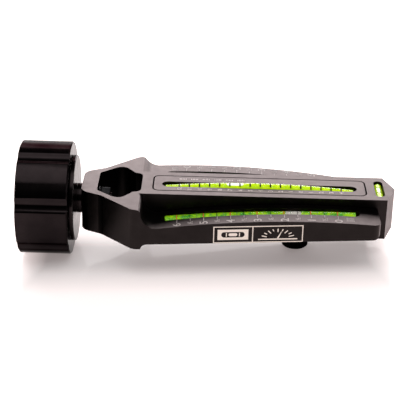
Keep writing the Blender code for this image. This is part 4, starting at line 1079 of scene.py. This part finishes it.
def make_camber_vial(label, side):
    """Camber vial of one wing with its red, black and faint lines."""
    apex_x = SCALE_MIDDLE_X - side * CAMBER_APEX_OFFSET
    low = SCALE_MIDDLE_X - CAMBER_HALF_LENGTH
    high = SCALE_MIDDLE_X + CAMBER_HALF_LENGTH
    line = bent_line(apex_x, CAMBER_TOP_Z, side * CAMBER_Y, CAMBER_RADIUS, CAMBER_BEND)
    vial = Vial(line, CAMBER_RADIUS, CAMBER_BORE, low, high)
    bubble_x = CAMBER_BUBBLE_X if side < 0 else FAR_BUBBLE_X
    bubble = Bubble(bubble_x, CAMBER_BUBBLE_LENGTH, CAMBER_BUBBLE_DEPTH, DIM_BUBBLE)
    fill_vial(vial, label + "_vial", "gauge", GREEN, bubble)
    zero_x = zero_place(side)
    quarters = [zero_x + side * number * DEGREE_PITCH / 4 for number in range(-1, DEGREES * 4 + 1)]
    inside = [x for x in quarters if low + VIAL_PLUG < x < high - VIAL_PLUG]
    whole = [zero_x + side * number * DEGREE_PITCH for number in range(DEGREES + 1)]
    halves = [zero_x + side * (number + 0.5) * DEGREE_PITCH for number in range(DEGREES)]
    fine = [x for x in inside if min(abs(x - other) for other in whole + halves) > RING_WIDTH]
    print_lines(vial, label + "_vial_red_lines", "gauge", whole, RED_LINE, RING_SPAN, RED_INK)
    print_lines(vial, label + "_vial_black_lines", "gauge", halves, BLACK_LINE, RING_SPAN, BLACK_INK)
    print_lines(vial, label + "_vial_fine_lines", "gauge", fine, FINE_LINE, FINE_SPAN, FAINT_INK)


def make_castor_vial():
    """Castor vial in the carrier with its long and short black lines."""
    low = CASTOR_MIDDLE_X - CASTOR_HALF_LENGTH
    high = CASTOR_MIDDLE_X + CASTOR_HALF_LENGTH
    line = bent_line(CASTOR_MIDDLE_X, CASTOR_TOP_Z, CASTOR_Y, CASTOR_RADIUS, CASTOR_BEND)
    vial = Vial(line, CASTOR_RADIUS, CASTOR_BORE, low, high)
    bubble = Bubble(CASTOR_BUBBLE_X, CASTOR_BUBBLE_LENGTH, CASTOR_BUBBLE_DEPTH, BUBBLE)
    fill_vial(vial, "castor_vial", "carrier", YELLOW, bubble)
    long_places = [CASTOR_FIRST_X + number * CASTOR_PITCH for number in range(CASTOR_TICKS)]
    short_places = [x + CASTOR_PITCH / 2 for x in long_places[:-1]]
    print_lines(vial, "castor_vial_long_lines", "carrier", long_places, CASTOR_LONG_LINE,
                CASTOR_LONG_SPAN, BLACK_INK)
    print_lines(vial, "castor_vial_short_lines", "carrier", short_places, CASTOR_SHORT_LINE,
                CASTOR_SHORT_SPAN, BLACK_INK)


def make_level():
    """Cross level with its two lines."""
    vial = Vial(level_line, LEVEL_RADIUS, LEVEL_BORE, -LEVEL_HALF_LENGTH, LEVEL_HALF_LENGTH)
    bubble = Bubble(LEVEL_BUBBLE_Y, LEVEL_BUBBLE_LENGTH, LEVEL_BUBBLE_DEPTH, DIM_BUBBLE)
    fill_vial(vial, "level_vial", "gauge", YELLOW, bubble)
    places = [LEVEL_BUBBLE_Y - LEVEL_TICK_OFFSET, LEVEL_BUBBLE_Y + LEVEL_TICK_OFFSET]
    print_lines(vial, "level_vial_lines", "gauge", places, BLACK_LINE, RING_SPAN, BLACK_INK)


# Camera, floor and light


def make_camera():
    """Camera of the photograph, placed relative to the gauge."""
    lens = bpy.data.cameras.new("camera")
    camera = show("camera", lens)
    lens.sensor_width = 36
    lens.lens = lens.sensor_width * FOCAL_PIXELS / PICTURE_PIXELS
    lens.shift_y = CENTRE_BELOW_PIXELS / PICTURE_PIXELS
    lens.clip_start = 0.01
    bearing = Matrix.Rotation(-CAMERA_YAW, 3, "Z")
    away = bearing @ Vector((0, -math.cos(CAMERA_ELEVATION), math.sin(CAMERA_ELEVATION)))
    right = bearing @ Vector((1, 0, 0))
    up = away.cross(right)
    turn = Matrix((right, up, away)).transposed()
    eye = TARGET + away * CAMERA_DISTANCE
    to_body = Matrix.Rotation(BODY_TILT, 3, "Y").inverted()
    eye_body = to_body @ (eye - Vector((0, 0, BODY_LIFT)))
    camera.matrix_world = Matrix.Translation(place(*eye_body)) @ (to_body @ turn).to_4x4()
    bpy.context.scene.camera = camera


def floor_frame():
    """Matrix of the floor the gauge rests on."""
    along = (FLOOR_RIGHT - FLOOR_LEFT).normalized()
    up = Vector((-along.z, 0, along.x))
    turn = Matrix((along, Vector((0, 1, 0)), up)).transposed().to_4x4()
    return Matrix.Translation(place(*FLOOR_LEFT)) @ turn


def make_floor():
    """White floor that keeps the gauge's shadow, and glows less in a patch under and before the gauge as a
    painted shadow.
    """
    bpy.ops.mesh.primitive_grid_add(x_subdivisions=FLOOR_CELLS, y_subdivisions=FLOOR_CELLS, size=FLOOR_SIZE)
    floor = bpy.context.object
    floor.name = "studio_floor"
    floor.matrix_world = floor_frame()
    surface = Surface("white_acrylic_sheet", (0.70, 0.70, 0.70), 0.06)
    surface.set("Specular IOR Level", 0.03)
    surface.drive(surface.spread(surface.noise(3, 2), 0.05, 0.08), "Roughness")
    rays = surface.node("ShaderNodeLightPath").outputs
    seen = surface.reckon("MAXIMUM", rays["Is Camera Ray"], rays["Is Glossy Ray"])
    seen = surface.reckon("MAXIMUM", seen, rays["Is Transmission Ray"])
    split = surface.node("ShaderNodeSeparateXYZ")
    surface.link(surface.node("ShaderNodeTexCoord").outputs["Object"], split.inputs[0])
    across = surface.node("ShaderNodeMapRange")
    across.inputs["From Min"].default_value = -FLOOR_GLOW_REACH
    across.inputs["From Max"].default_value = FLOOR_GLOW_REACH
    surface.link(split.outputs["Y"], across.inputs["Value"])
    # Painted shadow: the glow dips under and before the gauge, and fades back to full beyond the patch's
    # ends
    glow = surface.grey_steps(across.outputs["Result"], FLOOR_GLOW_AND_SHADOW_SHARES)
    apart = surface.reckon("ABSOLUTE", surface.reckon("SUBTRACT", split.outputs["X"], FLOOR_PAINTED_SHADOW_MIDDLE))
    painted_shadow_fade = surface.node("ShaderNodeMapRange", interpolation_type="SMOOTHSTEP")
    painted_shadow_fade.inputs["From Min"].default_value = FLOOR_PAINTED_SHADOW_START
    painted_shadow_fade.inputs["From Max"].default_value = FLOOR_PAINTED_SHADOW_END
    surface.link(apart, painted_shadow_fade.inputs["Value"])
    level = surface.reckon("MAXIMUM", glow, painted_shadow_fade.outputs["Result"])
    surface.drive(surface.reckon("MULTIPLY", seen, level), "Emission Strength")
    surface.set("Emission Color", FLOOR_GLOW_TINT)
    floor.data.materials.append(surface.material)


def make_lamp(name, centre, target, width, height, radiance, tint):
    """Soft box of a given radiance, aimed at a point."""
    lamp = bpy.data.lights.new(name, "AREA")
    lamp.shape = "RECTANGLE"
    lamp.size = width
    lamp.size_y = height
    lamp.energy = radiance * math.pi * width * height
    lamp.color = tint
    holder = show(name, lamp)
    holder.location = centre
    holder.rotation_euler = (Vector(target) - Vector(centre)).to_track_quat("-Z", "Y").to_euler()


# Colour inputs of a mix node
MIX_FIRST = 6
MIX_SECOND = 7


def mixed(nodes, factor, first, second):
    """Colour that goes from the first to the second with the factor, each an output or a colour."""
    made = nodes.node("ShaderNodeMix", data_type="RGBA")
    nodes.link(factor, made.inputs["Factor"])
    for number, colour in ((MIX_FIRST, first), (MIX_SECOND, second)):
        if isinstance(colour, bpy.types.NodeSocket):
            nodes.link(colour, made.inputs[number])
        else:
            made.inputs[number].default_value = colour
    return next(output for output in made.outputs if output.type == "RGBA")


def make_world():
    """White background, with a studio that is darker before and above the gauge for polished faces."""
    world = bpy.data.worlds.new("studio")
    bpy.context.scene.world = world
    world.use_nodes = True
    studio = Nodes(world.node_tree)
    background = world.node_tree.nodes["Background"]
    split = studio.node("ShaderNodeSeparateXYZ")
    studio.link(studio.node("ShaderNodeTexCoord").outputs["Generated"], split.inputs[0])
    front = studio.reckon("MULTIPLY", split.outputs["Y"], -1)
    angle = studio.reckon("ARCTAN2", split.outputs["Z"], front)
    glossy_level = studio.grey_steps(studio.reckon("DIVIDE", angle, math.pi), STUDIO_SHARES)
    rays = studio.node("ShaderNodeLightPath").outputs
    dull = (FILL_LEVEL, FILL_LEVEL, FILL_LEVEL, 1)
    polished = mixed(studio, rays["Is Glossy Ray"], dull, glossy_level)
    clear = studio.reckon("MAXIMUM", rays["Is Camera Ray"], rays["Is Transmission Ray"])
    studio.link(mixed(studio, clear, polished, (1, 1, 1, 1)), background.inputs["Color"])
    background.inputs["Strength"].default_value = 1
    bpy.context.scene.view_settings.view_transform = "Standard"


make_camera()
make_floor()
make_world()
for lamp in LAMPS:
    make_lamp(*lamp)

dress_body_and_carrier()
span_spring()
dress("adaptor_housing", "adaptor", TURNED)
dress("adaptor_spindle", "adaptor", TURNED)
dress("adjusting_knob", "knob", KNOB_BLACK_AND_SHADE, EDGE_BREAK / 2, 1, KNOB_BLACK_AND_SHADE)
dress("spindle_nut", "adaptor", BLACK_STEEL, EDGE_BREAK, 2, BLACK_STEEL)
dress("magnet_ring", "adaptor", NICKEL, EDGE_BREAK / 2, 2, NICKEL)
repaint(BRIGHT_STEEL, "pivot_block", "carrier_pivot_pin", "adjusting_screw", "knob_washer")
repaint(BRIGHT_STEEL, "magnet_backplate")
repaint(SPRING_STEEL, "screw_clip")
repaint(BRASS, "carrier_nut")
repaint(OILED_BRONZE, "spindle_bush")
repaint(BLACK_STEEL, "pivot_block_screw", "spindle_washer")
for end in (1, 2):
    repaint(BLACK_STEEL, f"near_vial_grub_{end}", f"far_vial_grub_{end}", f"castor_vial_grub_{end}")
for number in (1, 2, 3):
    repaint(BLACK_STEEL, f"magnet_screw_{number}", f"flange_screw_{number}")

make_camber_vial("near", -1)
make_camber_vial("far", 1)
make_castor_vial()
make_level()
camber_scale("near", -1)
camber_scale("far", 1)
castor_scale()
make_panel()
